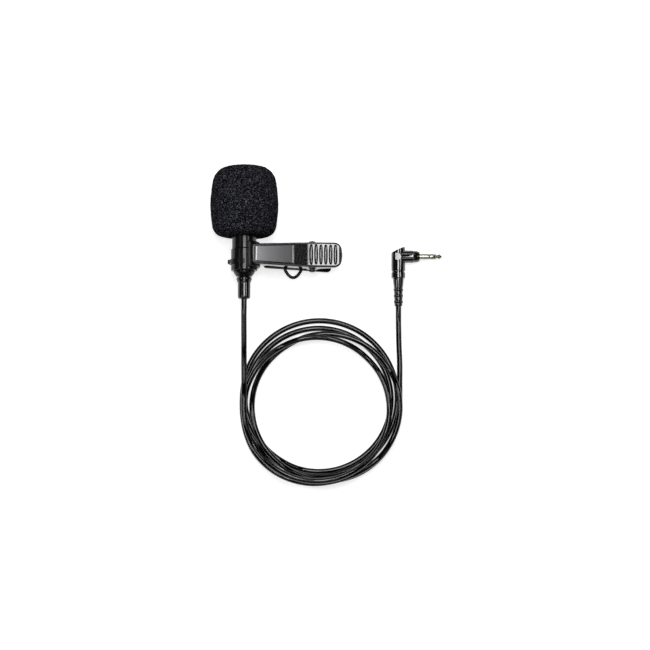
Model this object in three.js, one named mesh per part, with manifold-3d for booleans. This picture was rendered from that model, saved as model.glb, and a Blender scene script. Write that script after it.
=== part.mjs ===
// Clip-on lavalier microphone laid out flat with its coiled cable and right-angle plug.
// Millimetres, +Z up. The microphone's axis runs along Y, and its clip points along +X.
// The origin is under the middle of the microphone and clip, on the surface they lie on.
import * as THREE from "three";
import { mergeVertices } from "three/addons/utils/BufferGeometryUtils.js";
import Module from "manifold-3d";

// ---------------------------------------------------------------- driving sizes

// Gap kept between two pieces that touch, seat or slide on each other.
const clearance = 0.3;
// Facets round a full turn, by how large the piece is.
const fineFacets = 40;
const mediumFacets = 28;
const smallFacets = 20;

// Foam windscreen: a round-cornered barrel with a blind bore.
const foamRadius = 15.05;
const foamLength = 31.2;
const foamFrontCorner = 8.7;
const foamRearCorner = 5.7;
const foamSideBulge = 0.7;
const foamBoreDepth = 21;
// Distance from the clip's middle plane to the foam's rear face.
const foamStandoff = 8.6;

// Microphone housing: a slim front barrel and a wider rear collar.
const barrelRadius = 5.45;
const collarRadius = 5.9;
const barrelWall = 0.8;
const collarLength = 9.9;
const collarRearFromClip = 7.1;
const barrelFrontInFoam = 17.1;
const collarChamfer = 0.5;

// Grille cap at the barrel's front.
const grilleThickness = 0.9;
const grilleSkirt = 3;
const grilleDome = 1.1;
const grilleHoleRadius = 0.65;
const grilleHoleCount = 6;
const grilleHoleCircle = 2.6;

// What the barrel holds behind the grille.
const meshDiscThickness = 0.4;
const capsuleRadius = 3;
const capsuleLength = 3.4;
const bootWall = 0.5;
const bootLip = 0.6;
const boardThickness = 0.8;
const boardPadRadius = 0.7;
const boardPadHeight = 0.4;

// Rear cap: a cone that closes the housing, with a plug that enters it.
const capShoulderRadius = 4.75;
const capNeckRadius = 3.6;
const capConeLength = 2.2;
const capPlugLength = 3;
const capPlugRadius = 4.2;

// Cable sleeve on the rear cap.
const sleeveRimRadius = 3.45;
const sleeveRimLength = 1.9;
const sleeveRadius = 2.8;
const sleeveLength = 7.8;
const sleeveEndRound = 1.1;

// Clip: holder ring round the collar, upper jaw, lower jaw, pin and spring.
const ringWall = 1;
const ringArmWall = 0.6;
const ringWidth = 11.3;
const ringArmWidth = 1.9;
const ringArmOffset = -3.2;
const ringSlit = 1.4;
const ringNubReach = 0.55;
const ringNubLength = 1.6;
const tongueThickness = 2.2;
const tongueLength = 5;

const leverTop = 6.9;
const leverRoof = 1.4;
const leverSkirt = 1.2;
const leverReach = 42.9;
const leverFrontHalfWidth = 4.5;
const leverMidHalfWidth = 5.35;
const leverRearHalfWidth = 5.6;
const leverEndCorner = 3.4;
const leverEndLift = 1.1;
const leverEndThickness = 2.2;
const plateStart = 4.35;
const plateEnd = 21.4;
const plateMargin = 1.15;
const plateRecess = 0.6;
const plateProud = 0.15;

const ribCount = 6;
const ribFirst = 29.1;
const ribPitch = 2.15;
const ribDepth = 0.75;
const ribGrooveWidth = 1.55;
const ribMargin = 1.1;

const pinPosition = 30.6;
const pinRadius = 1.1;
const pinHeadRadius = 1.7;
const pinHeadHeight = 1.2;
const earRadius = 2.6;

const jawTip = 8.6;
const jawGripToPin = 4.2;
const jawThickness = 2.9;
const jawHeelReach = 39.2;
const jawHeelRadius = 1.2;
const jawHeelDrop = 7.9;
const jawEarThickness = 1.1;
const jawEarRadius = 2.3;
const jawHalfWidth = 5.3;
const toothPitch = 1.7;
const toothDepth = 0.7;
const toothMargin = 3.4;
const gripHeight = 0.5;
const padThickness = 1.4;

const springWire = 0.8;
const springTurns = 3;
const springPitch = 1.15;
const springLegReach = 7.4;

const eyeThickness = 1.4;
const eyeWidth = 8.8;
const eyeReach = 4.2;
const eyeToGripEnd = 4;
const eyeDrop = 2.9;
const eyeSocketDepth = 1.4;

// Cable.
const cableDiameter = 2.5;
const cableSides = 8;
const coilSides = 6;
const stepsPerTurn = 24;
const coilGap = 0.65;
const coilSteepest = 0.3;
// How far the coil's lowest strand is kept off the surface.
const coilRest = 0.12;

// Right-angle plug.
const plugBodyRadius = 3.1;
const plugBodyBelowAxis = 9.7;
const plugApexAboveAxis = 4.3;
const plugCutRise = 2.75;
const plugArmRadius = 2.8;
const plugArmReach = 8.1;
const plugNoseReach = 9.5;
const plugNoseRadius = 2.1;
const plugDiscRadius = 1.6;
const plugDiscDepth = 0.35;
const plugGrooveFromEnd = 2.3;
const plugGrooveWidth = 1.1;
const plugGrooveDepth = 0.35;

const bootLength = 12.3;
const bootHeadLength = 4.2;
const bootHeadRadius = 2.4;
const bootNeckRadius = 1.95;
const bootEndWall = 0.2;
const bootRibCount = 3;
const bootRibHeight = 0.3;
const bootStubWall = 0.5;
const bootStubLength = 2.3;

const jackRadius = 1.25;
const jackReach = 10;
const jackRingLength = 1.7;
const jackInsulatorLength = 0.5;
const jackInsulatorRadius = 1.12;
const jackTipLength = 3.1;
const jackTipNeck = 0.72;
const jackCoreRadius = 0.5;

// Where the pieces lie on the surface, measured from the middle of the layout.
const microphonePlace = { x: -35.7, y: 29.4 };
const plugPlace = { x: 33.1, y: 30.5 };

// The coil's turns, from the microphone to the plug: a circle each, given by its middle, its radius
// and the part of a turn at which the cord leaves it for the next one.
const coilTurns = [
  { x: -3.47, y: -38.65, radius: 32.29, ends: 1 },
  { x: -2.54, y: -33.89, radius: 32.21, ends: 2 },
  { x: -2.22, y: -32.93, radius: 34.69, ends: 3 },
  { x: -4.11, y: -39.45, radius: 32.39, ends: 3.31 },
  { x: 0.68, y: -37.36, radius: 32.84, ends: 4.5 },
];
// How high each stretch was laid on the others: a stretch lies over every one with a lower number.
const coilLaying = [
  { from: 0, level: 5 },
  { from: 0.5, level: 4 },
  { from: 0.97, level: 1 },
  { from: 1.97, level: 0 },
  { from: 2.97, level: -1 },
  { from: 3.13, level: 3 },
  { from: 4, level: 2 },
];
// Part of a turn over which the cord moves from one circle to the next.
const coilBlend = 0.16;

// ---------------------------------------------------------------- materials

const finish = (color, roughness, metalness = 0) =>
  new THREE.MeshStandardMaterial({ color, roughness, metalness });
const foamBlack = finish(0x17181b, 0.95);
const satinBlackMetal = finish(0x1b1b1d, 0.38, 0.6);
const mouldedBlack = finish(0x17171a, 0.42);
const glossBlack = finish(0x141416, 0.25);
const greyPlate = finish(0x77797c, 0.3, 0.5);
const rubberBlack = finish(0x151516, 0.7);
const cableBlack = finish(0x161618, 0.45);
const steel = finish(0xa9abad, 0.3, 1);
const capsuleSilver = finish(0xb9bbbd, 0.35, 1);
const boardGreen = finish(0x2f5b3a, 0.6);
const paleGold = finish(0xd6cfa6, 0.22, 1);
const insulatorBlack = finish(0x22231c, 0.5);
const meshGrey = finish(0x3a3b3d, 0.6, 0.6);

// ---------------------------------------------------------------- solids

const wasm = await Module();
wasm.setup();

// A three.js geometry as a solid whose faces point out.
function solid(geometry) {
  const bare = geometry.clone();
  bare.deleteAttribute("normal");
  bare.deleteAttribute("uv");
  bare.clearGroups();
  const merged = mergeVertices(bare, 1e-4);
  const index = new Uint32Array(merged.index.array);
  const build = (triVerts) =>
    new wasm.Manifold(
      new wasm.Mesh({ numProp: 3, vertProperties: merged.attributes.position.array, triVerts }),
    );
  const made = build(index);
  if (made.volume() > 0) return made;
  for (let i = 0; i < index.length; i += 3) {
    [index[i + 1], index[i + 2]] = [index[i + 2], index[i + 1]];
  }
  return build(index);
}

// A solid as a three.js geometry.
function geometryOf(body) {
  const mesh = body.getMesh();
  const positions = new Float32Array(mesh.numVert * 3);
  for (let i = 0; i < mesh.numVert; i++) {
    positions.set(mesh.vertProperties.subarray(i * mesh.numProp, i * mesh.numProp + 3), i * 3);
  }
  const geometry = new THREE.BufferGeometry();
  geometry.setAttribute("position", new THREE.BufferAttribute(positions, 3));
  geometry.setIndex(new THREE.BufferAttribute(new Uint32Array(mesh.triVerts), 1));
  geometry.computeVertexNormals();
  return geometry;
}

// A solid turned about Y. The profile is a list of [radius, y], from one end to the other.
function turned(profile, facets) {
  return solid(new THREE.LatheGeometry(profile.map(([r, y]) => new THREE.Vector2(r, y)), facets));
}

// The same about X, with the profile's second number along +X.
function turnedAlongX(profile, facets) {
  const geometry = new THREE.LatheGeometry(
    profile.map(([r, x]) => new THREE.Vector2(r, x)),
    facets,
  );
  geometry.rotateZ(-Math.PI / 2);
  return solid(geometry);
}

// A cylinder whose axis runs along Y, between two values of y.
function rodAlongY(radius, low, high, facets, x = 0, z = 0) {
  const geometry = new THREE.CylinderGeometry(radius, radius, high - low, facets);
  geometry.translate(x, (low + high) / 2, z);
  return solid(geometry);
}

// A box between two corners.
function block(low, high) {
  const size = high.map((value, i) => value - low[i]);
  const geometry = new THREE.BoxGeometry(...size);
  geometry.translate(...high.map((value, i) => (value + low[i]) / 2));
  return solid(geometry);
}

// An outline in the XZ plane, drawn out along Y from low to high.
function drawnAlongY(outline, low, high, curveSegments = 6) {
  const geometry = new THREE.ExtrudeGeometry(outline, {
    depth: high - low,
    bevelEnabled: false,
    curveSegments,
  });
  geometry.rotateX(Math.PI / 2);
  geometry.translate(0, high, 0);
  return solid(geometry);
}

// An outline in the XY plane, drawn up along Z from low to high.
function drawnAlongZ(outline, low, high, curveSegments = 6) {
  const geometry = new THREE.ExtrudeGeometry(outline, {
    depth: high - low,
    bevelEnabled: false,
    curveSegments,
  });
  geometry.translate(0, 0, low);
  return solid(geometry);
}

// A straight-sided outline through the given [x, y] corners.
function outlineOf(corners) {
  return new THREE.Shape(corners.map(([x, y]) => new THREE.Vector2(x, y)));
}

// A round bar along a curve, as one closed tube.
function barAlong(curve, radius, sides, steps) {
  const section = new THREE.Shape();
  for (let side = 0; side < sides; side++) {
    const angle = ((side + 0.5) / sides) * 2 * Math.PI;
    const corner = [radius * Math.cos(angle), radius * Math.sin(angle)];
    if (side === 0) section.moveTo(...corner);
    else section.lineTo(...corner);
  }
  section.closePath();
  return new THREE.ExtrudeGeometry(section, { steps, bevelEnabled: false, extrudePath: curve });
}

const part = new THREE.Group();
const lavalier = new THREE.Group();
part.add(lavalier);

function addMesh(group, name, geometry, material) {
  const mesh = new THREE.Mesh(geometry, material);
  mesh.name = name;
  group.add(mesh);
  return mesh;
}

function addSolid(group, name, body, material) {
  return addMesh(group, name, geometryOf(body), material);
}

// ---------------------------------------------------------------- microphone
// Everything here is turned about the microphone's axis, with y = 0 in the clip's middle plane.

const microphone = new THREE.Group();
microphone.position.set(microphonePlace.x, microphonePlace.y, foamRadius);
lavalier.add(microphone);

const collarRear = -collarRearFromClip;
const collarFront = collarRear + collarLength;
const barrelFront = foamStandoff + barrelFrontInFoam;
const boreRadius = barrelRadius - barrelWall;
const capFront = collarRear + capPlugLength;

// Windscreen: a barrel with wide front corners, slightly bulged sides and a blind bore.
function windscreen() {
  const rear = foamStandoff;
  const front = rear + foamLength;
  const side = foamRadius - foamSideBulge;
  const bore = barrelRadius + clearance;
  const boreEnd = rear + foamBoreDepth;
  const path = new THREE.Path();
  path.moveTo(bore, rear);
  path.lineTo(side - foamRearCorner, rear);
  path.quadraticCurveTo(side - 0.2, rear, side, rear + foamRearCorner);
  path.quadraticCurveTo(
    foamRadius + foamSideBulge,
    (rear + foamRearCorner + front - foamFrontCorner) / 2,
    side,
    front - foamFrontCorner,
  );
  path.quadraticCurveTo(side - 0.8, front, side - foamFrontCorner, front);
  path.lineTo(0, front);
  const outside = path.getPoints(6).map((point) => [point.x, point.y]);
  return turned([[0, boreEnd], [bore, boreEnd], ...outside], fineFacets);
}

// Housing tube: thin-walled, open at both ends.
function housing() {
  const step = barrelRadius - barrelWall / 2 - clearance / 2;
  const mouth = barrelFront - grilleThickness - clearance;
  return turned(
    [
      [boreRadius, collarRear],
      [collarRadius - collarChamfer, collarRear],
      [collarRadius, collarRear + collarChamfer],
      [collarRadius, collarFront - collarChamfer / 2],
      [collarRadius - collarChamfer / 2, collarFront],
      [barrelRadius, collarFront],
      [barrelRadius, barrelFront - grilleSkirt],
      [step, barrelFront - grilleSkirt],
      [step, mouth],
      [boreRadius - clearance, mouth],
      [boreRadius - clearance, mouth - 1],
      [boreRadius, mouth - 1.4],
      [boreRadius, collarRear],
    ],
    fineFacets,
  );
}

// Grille: a cap over the barrel's stepped front, with a ring of sound holes.
function grille() {
  const seat = barrelFront - grilleThickness;
  const inner = barrelRadius - barrelWall / 2 + clearance / 2;
  const cap = turned(
    [
      [0, seat],
      [inner, seat],
      [inner, barrelFront - grilleSkirt + clearance],
      [barrelRadius, barrelFront - grilleSkirt + clearance],
      [barrelRadius, barrelFront - 0.4],
      [barrelRadius - 0.6, barrelFront],
      [barrelRadius * 0.6, barrelFront + grilleDome * 0.7],
      [barrelRadius * 0.25, barrelFront + grilleDome * 0.97],
      [0, barrelFront + grilleDome],
    ],
    fineFacets,
  );
  const holeTop = barrelFront + grilleDome + 1;
  let holes = rodAlongY(grilleHoleRadius, seat - 1, holeTop, 12);
  for (let i = 0; i < grilleHoleCount; i++) {
    const angle = (i / grilleHoleCount) * 2 * Math.PI;
    const x = grilleHoleCircle * Math.cos(angle);
    const z = grilleHoleCircle * Math.sin(angle);
    holes = holes.add(rodAlongY(grilleHoleRadius, seat - 1, holeTop, 12, x, z));
  }
  return cap.subtract(holes);
}

const meshFront = barrelFront - grilleThickness - clearance;
const meshRear = meshFront - meshDiscThickness;
const meshRadius = boreRadius - 2 * clearance;
const capsuleFront = meshRear - clearance - bootLip - clearance;
const capsuleRear = capsuleFront - capsuleLength;
const bootBore = capsuleRadius + clearance;
const bootOuter = boreRadius - clearance;

// Rubber boot that holds the capsule in the barrel, with a lip over the capsule's rim.
function capsuleBoot() {
  const front = capsuleFront + clearance + bootLip;
  const rear = capsuleRear - clearance;
  return turned(
    [
      [bootBore, rear],
      [bootOuter, rear],
      [bootOuter, front - 1.6],
      [bootOuter - clearance, front - 1.2],
      [bootOuter - clearance, front],
      [capsuleRadius - bootWall, front],
      [capsuleRadius - bootWall, front - bootLip],
      [bootBore, front - bootLip],
      [bootBore, rear],
    ],
    mediumFacets,
  );
}

// Condenser capsule: a can with a sound hole and a crimped rear edge.
function capsule() {
  const can = turned(
    [
      [0, capsuleRear],
      [capsuleRadius - 0.6, capsuleRear],
      [capsuleRadius - 0.6, capsuleRear + 0.25],
      [capsuleRadius - 0.15, capsuleRear + 0.25],
      [capsuleRadius, capsuleRear + 0.5],
      [capsuleRadius, capsuleFront - 0.15],
      [capsuleRadius - 0.15, capsuleFront],
      [0, capsuleFront],
    ],
    mediumFacets,
  );
  return can.subtract(rodAlongY(0.6, capsuleFront - 0.8, capsuleFront + 1, 12));
}

// Round circuit board behind the capsule, with its two solder pads.
function board() {
  const front = capsuleRear - clearance - clearance;
  const disc = turned(
    [
      [0, front - boardThickness],
      [boreRadius - clearance, front - boardThickness],
      [boreRadius - clearance, front],
      [0, front],
    ],
    mediumFacets,
  );
  const padLow = front - boardThickness - boardPadHeight;
  const pads = [-1, 1].map((side) =>
    rodAlongY(boardPadRadius, padLow, front - boardThickness / 2, 10, side * 1.8, 0),
  );
  return disc.add(pads[0]).add(pads[1]);
}

const boardRear = capsuleRear - 2 * clearance - boardThickness;
const coreRadius = cableDiameter / 2;
const capRear = collarRear - capConeLength - clearance;
const capSpigotRadius = capNeckRadius - 1.35;
const capSpigotLength = 2;
const sleeveFront = capRear - clearance;
const sleeveEnd = sleeveFront - sleeveRimLength - sleeveLength;

// Spacer tube that keeps the board against the boot and carries the cable's knot.
function spacer() {
  const front = boardRear - clearance;
  const rear = capFront + clearance;
  const outer = boreRadius - clearance;
  return turned(
    [
      [outer - 0.9, rear],
      [outer, rear],
      [outer, front],
      [outer - 0.9, front],
      [outer - 0.9, rear],
    ],
    mediumFacets,
  );
}

// Rear cap: plug inside the housing, shoulder on its end, cone, and the neck that takes the sleeve.
function rearCap() {
  const face = collarRear - clearance;
  const neckBore = coreRadius + clearance;
  return turned(
    [
      [neckBore, capRear - capSpigotLength],
      [capSpigotRadius, capRear - capSpigotLength],
      [capSpigotRadius, capRear],
      [capNeckRadius, capRear],
      [capShoulderRadius, face - 0.25],
      [capShoulderRadius, face],
      [capPlugRadius, face],
      [capPlugRadius, capFront - 0.4],
      [capPlugRadius - 0.4, capFront],
      [neckBore, capFront],
      [neckBore, capRear - capSpigotLength],
    ],
    fineFacets,
  );
}

// Cable sleeve: flared rim against the cone, a plain tube, and a soft rounded end round the cable.
function sleeve() {
  const front = sleeveFront;
  const shoulder = front - sleeveRimLength;
  const socketEnd = front - capSpigotLength - clearance;
  const bore = coreRadius + clearance;
  const socket = capSpigotRadius + clearance;
  const round = [66, 44, 22].map((degrees) => [
    sleeveRadius - sleeveEndRound * (1 - Math.cos(THREE.MathUtils.degToRad(degrees))),
    sleeveEnd + sleeveEndRound * (1 - Math.sin(THREE.MathUtils.degToRad(degrees))),
  ]);
  return turned(
    [
      [bore, sleeveEnd],
      ...round,
      [sleeveRadius, sleeveEnd + sleeveEndRound],
      [sleeveRadius, shoulder - 0.5],
      [sleeveRimRadius, shoulder + 0.9],
      [sleeveRimRadius, front - 0.55],
      [capNeckRadius - 0.45, front],
      [socket, front],
      [socket, socketEnd],
      [bore, socketEnd],
      [bore, sleeveEnd],
    ],
    fineFacets,
  );
}

// Crimped stop on the cable inside the housing, which keeps it from being pulled out.
function cableStop() {
  const rear = capFront + clearance;
  const radius = coreRadius + clearance + 0.9;
  return turned(
    [
      [0, rear],
      [radius, rear],
      [radius, rear + 1],
      [coreRadius + 0.2, rear + 1.4],
      [coreRadius + 0.2, rear + 2.6],
      [0, rear + 2.6],
    ],
    smallFacets,
  );
}

addSolid(microphone, "foam_windscreen", windscreen(), foamBlack);
addSolid(microphone, "microphone_housing", housing(), satinBlackMetal);
addSolid(microphone, "grille_cap", grille(), satinBlackMetal);
addSolid(
  microphone,
  "dust_mesh",
  turned([[0, meshRear], [meshRadius, meshRear], [meshRadius, meshFront], [0, meshFront]], smallFacets),
  meshGrey,
);
addSolid(microphone, "capsule_boot", capsuleBoot(), rubberBlack);
addSolid(microphone, "condenser_capsule", capsule(), capsuleSilver);
addSolid(microphone, "circuit_board", board(), boardGreen);
addSolid(microphone, "spacer_tube", spacer(), insulatorBlack);
addSolid(microphone, "rear_cap", rearCap(), satinBlackMetal);
addSolid(microphone, "cable_sleeve", sleeve(), rubberBlack);
addSolid(microphone, "cable_stop", cableStop(), steel);

// ---------------------------------------------------------------- clip
// Built level, x along the lever, y along the pin, z up from the microphone's axis, then tilted
// about the microphone until the lower jaw's heel rests on the surface.

const clip = new THREE.Group();
const heelReach = Math.hypot(jawHeelReach, jawHeelDrop);
const heelAngle = Math.atan2(jawHeelDrop, jawHeelReach);
clip.rotation.y = Math.asin((foamRadius - jawHeelRadius) / heelReach) - heelAngle;
microphone.add(clip);

const ringInner = collarRadius + clearance;
const ringOuter = ringInner + ringWall;
const earGap = clearance + 0.1;
const tongueHalf = leverFrontHalfWidth - leverSkirt - clearance;
const tongueTop = leverTop - leverRoof - clearance;
// Where the lever's flat top meets the space left for the ring.
const leverFrontAt = Math.sqrt((ringOuter + clearance) ** 2 - leverTop ** 2) + 0.05;
// Heights of the lower jaw's grip, of its underside's step and of the upper lever's roof.
const jawGrip = gripHeight - clearance - 0.2;
const jawGripEnd = pinPosition - jawGripToPin;
const toothCount = Math.floor((jawGripEnd - jawTip - toothMargin) / toothPitch);
const jawStep = -earRadius - earGap;
const leverEndTop = leverTop + leverEndLift;

// Holder ring: a wide saddle on the clip's side, a narrow arm round the far side, a slit on top.
function holderRing() {
  const half = ringWidth / 2;
  const tube = turned(
    [
      [ringInner, -half],
      [ringOuter - 0.4, -half],
      [ringOuter, 0.4 - half],
      [ringOuter, half - 0.4],
      [ringOuter - 0.4, half],
      [ringInner, half],
      [ringInner, -half],
    ],
    fineFacets,
  );
  const armLow = ringArmOffset - ringArmWidth / 2;
  const armHigh = ringArmOffset + ringArmWidth / 2;
  const far = -ringOuter - 1;
  const cutRear = block([far, -half - 1, far], [0, armLow, -far]);
  const cutFront = block([far, armHigh, far], [0, half + 1, -far]);
  const slit = block([-ringSlit / 2, -half - 1, 0], [ringSlit / 2, half + 1, -far]);
  const shoulder = block([0, -half - 1, far], [ringSlit, half + 1, -far]);
  const armOuter = ringInner + ringArmWall;
  const armShell = block([far, -half - 1, far], [-ringSlit, half + 1, -far]).subtract(
    rodAlongY(armOuter, -half - 2, half + 2, fineFacets),
  );
  const nub = outlineOf([
    [-ringInner - 0.3, -ringNubLength / 2 - 0.35],
    [-ringInner - 0.3, ringNubLength / 2 + 0.35],
    [-armOuter + 0.05, ringNubLength / 2],
    [-armOuter - ringNubReach, 0.35],
    [-armOuter - ringNubReach, -0.35],
    [-armOuter + 0.05, -ringNubLength / 2],
  ]);
  const tongue = block(
    [ringInner / 2, -tongueHalf, tongueTop - tongueThickness],
    [ringOuter + tongueLength, tongueHalf, tongueTop],
  );
  const bore = rodAlongY(ringInner, -half - 1, half + 1, fineFacets);
  return tube
    .subtract(cutRear.add(cutFront).subtract(shoulder))
    .subtract(slit)
    .subtract(armShell)
    .add(drawnAlongY(nub, armLow, armHigh))
    .add(tongue.subtract(bore));
}

// Plan outline of the upper lever, drawn in by inset all round.
function leverOutline(inset, start, end = leverReach) {
  const outline = new THREE.Shape();
  const slope = (leverMidHalfWidth - leverFrontHalfWidth) / (plateEnd - plateStart);
  const front = leverFrontHalfWidth + (start - plateStart) * slope - inset;
  const mid = leverMidHalfWidth - inset;
  const rear = leverRearHalfWidth - inset;
  const last = end - inset;
  const corner = Math.max(leverEndCorner - inset, 0.5);
  outline.moveTo(start, -front);
  outline.lineTo(plateEnd, -mid);
  outline.lineTo(pinPosition, -rear);
  outline.lineTo(last - corner, -rear);
  outline.quadraticCurveTo(last - 0.2, -rear + 0.2, last, -rear + corner + 0.6);
  outline.quadraticCurveTo(last + 0.25, 0, last, rear - corner - 0.6);
  outline.quadraticCurveTo(last - 0.2, rear - 0.2, last - corner, rear);
  outline.lineTo(pinPosition, rear);
  outline.lineTo(plateEnd, mid);
  outline.lineTo(start, front);
  outline.closePath();
  return outline;
}

// Side view of the upper lever's outside: flat top, lifted end, ears round the pin, toothed edge.
function leverSide() {
  const toothStart = jawTip + 0.4;
  const side = new THREE.Shape();
  side.moveTo(leverFrontAt, leverTop);
  side.lineTo(ribFirst - ribPitch, leverTop);
  side.quadraticCurveTo(ribFirst, leverTop, leverReach - 1.4, leverEndTop);
  side.quadraticCurveTo(leverReach + 0.1, leverEndTop, leverReach + 0.4, leverTop - 0.3);
  side.lineTo(leverReach + 0.4, leverEndTop - leverEndThickness);
  side.lineTo(leverReach - 2, leverEndTop - leverEndThickness - 0.5);
  side.lineTo(pinPosition + earRadius + 1.4, earRadius - 0.3);
  for (let i = 0; i <= 8; i++) {
    const angle = (20 - 25 * i) * (Math.PI / 180);
    side.lineTo(
      pinPosition + earRadius * Math.cos(angle),
      earRadius * Math.sin(angle),
    );
  }
  side.lineTo(pinPosition - earRadius, gripHeight + toothDepth / 2);
  side.lineTo(toothStart + toothCount * toothPitch, gripHeight + toothDepth / 2);
  for (let i = toothCount - 1; i >= 0; i--) {
    const x = toothStart + i * toothPitch;
    side.lineTo(x + toothPitch * 0.85, gripHeight);
    side.lineTo(x, gripHeight + toothDepth);
  }
  side.lineTo(leverFrontAt, gripHeight + toothDepth + 2.4);
  side.closePath();
  return side;
}

// Upper jaw and thumb lever: one moulding, hollow underneath.
function upperJaw() {
  const body = drawnAlongY(leverSide(), -leverRearHalfWidth - 1, leverRearHalfWidth + 1).intersect(
    drawnAlongZ(leverOutline(0, leverFrontAt - 0.5), -earRadius - 1, leverEndTop + 1),
  );
  const cavity = drawnAlongZ(
    leverOutline(leverSkirt, leverFrontAt - 2, leverReach - 1),
    -earRadius - 2,
    leverTop - leverRoof,
  );
  const recess = drawnAlongZ(plateOutline(0), leverTop - plateRecess, leverTop + 1);
  const ringSpace = rodAlongY(ringOuter + clearance, -9, 9, fineFacets);
  const pinBore = rodAlongY(
    pinRadius + clearance / 2,
    -leverRearHalfWidth - 2,
    leverRearHalfWidth + 2,
    smallFacets,
    pinPosition,
  );
  let jaw = body.subtract(cavity).subtract(recess).subtract(ringSpace).subtract(pinBore);
  for (let i = 0; i < ribCount; i++) jaw = jaw.subtract(thumbGroove(i));
  return jaw;
}

// One lens-shaped groove of the ribbed thumb pad, deepest in its middle.
function thumbGroove(i) {
  const x = ribFirst + i * ribPitch;
  const length = 2 * (leverRearHalfWidth - ribMargin);
  const groove = new THREE.SphereGeometry(0.5, 14, 10);
  groove.scale(ribGrooveWidth, length, 2 * ribDepth);
  groove.translate(x, 0, padTopAt(x));
  return solid(groove);
}

// Height of the thumb pad's curved top, where its grooves are cut.
function padTopAt(x) {
  const start = ribFirst - ribPitch;
  const end = leverReach - 1.4;
  const curve = new THREE.QuadraticBezierCurve(
    new THREE.Vector2(start, leverTop),
    new THREE.Vector2(ribFirst, leverTop),
    new THREE.Vector2(end, leverEndTop),
  );
  const along = (x - start) / (end - start);
  const bend = (ribFirst - start) / (end - start);
  // The curve's parameter at x, from x = 2 bend (1 - t) t + t t.
  const t = (Math.sqrt(bend * bend + (1 - 2 * bend) * along) - bend) / (1 - 2 * bend);
  return curve.getPoint(t).y;
}

// Outline of the bare plate and, with no inset, of the recess it lies in.
function plateOutline(inset) {
  const slope = (leverMidHalfWidth - leverFrontHalfWidth) / (plateEnd - plateStart);
  const front = leverFrontHalfWidth - plateMargin - inset;
  const rear = front + (plateEnd - plateStart) * slope;
  const low = plateStart + inset;
  const high = plateEnd - inset;
  return outlineOf([
    [low, -front],
    [high, -rear],
    [high, rear],
    [low, front],
  ]);
}

function facePlate() {
  const bottom = leverTop - plateRecess + clearance;
  const shoulder = leverTop - 0.05;
  const top = leverTop + plateProud;
  const base = drawnAlongZ(plateOutline(clearance / 2), bottom, shoulder);
  const crown = drawnAlongZ(plateOutline(clearance / 2 + 0.35), bottom, top);
  return base.add(crown);
}

// The lower lever's top runs straight from under the pin to its heel.
const jawLeverStart = { x: pinPosition + 0.6, z: jawStep };
const jawLeverEnd = { x: jawHeelReach - 0.6, z: -jawHeelDrop + jawHeelRadius + 0.1 };
const jawLeverTopAt = (x) => {
  const share = (x - jawLeverStart.x) / (jawLeverEnd.x - jawLeverStart.x);
  return jawLeverStart.z + (jawLeverEnd.z - jawLeverStart.z) * share;
};

// Side view of the lower jaw: toothed grip, step under the upper ears, lever down to its heel.
function jawSide() {
  const grip = jawGrip;
  const side = new THREE.Shape();
  side.moveTo(jawTip - 0.2, grip - 1.2);
  side.lineTo(jawTip, grip - 0.4);
  for (let i = 0; i < toothCount; i++) {
    const x = jawTip + 0.4 + i * toothPitch;
    side.lineTo(x, grip + toothDepth);
    side.lineTo(x + toothPitch * 0.85, grip);
  }
  side.lineTo(jawTip + 0.4 + toothCount * toothPitch, grip);
  side.lineTo(jawGripEnd, grip);
  side.lineTo(jawGripEnd + 1.2, jawStep);
  side.lineTo(jawLeverStart.x, jawLeverStart.z);
  side.lineTo(jawLeverEnd.x, jawLeverEnd.z);
  for (let i = 0; i <= 6; i++) {
    const angle = (80 - 28 * i) * (Math.PI / 180);
    side.lineTo(
      jawHeelReach + jawHeelRadius * Math.cos(angle),
      -jawHeelDrop + jawHeelRadius * Math.sin(angle),
    );
  }
  side.lineTo(pinPosition - 1, jawStep - jawThickness);
  side.lineTo(jawGripEnd - 2, grip - jawThickness - 2.3);
  side.lineTo(jawTip + 1.2, grip - jawThickness);
  side.closePath();
  return side;
}

// Plan outline of the lower jaw: rounded tip, slightly wider than the upper jaw at the front.
function jawOutline(inset, start, end) {
  const half = jawHalfWidth - inset;
  const tip = 2.2;
  const outline = new THREE.Shape();
  outline.moveTo(start + tip, -half + 0.5);
  outline.lineTo(pinPosition, -half);
  outline.lineTo(end - tip, -half);
  outline.quadraticCurveTo(end, -half, end, -half + tip);
  outline.lineTo(end, half - tip);
  outline.quadraticCurveTo(end, half, end - tip, half);
  outline.lineTo(pinPosition, half);
  outline.lineTo(start + tip, half - 0.5);
  outline.quadraticCurveTo(start, half - 0.5, start, half - 0.5 - tip);
  outline.lineTo(start, -half + 0.5 + tip);
  outline.quadraticCurveTo(start, -half + 0.5, start + tip, -half + 0.5);
  return outline;
}

const jawEarOuter = leverRearHalfWidth - leverSkirt - clearance;
const jawEarInner = jawEarOuter - jawEarThickness;
const eyeHalf = (eyeWidth - eyeThickness) / 2;
const eyePosition = jawGripEnd - eyeToGripEnd;

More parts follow.
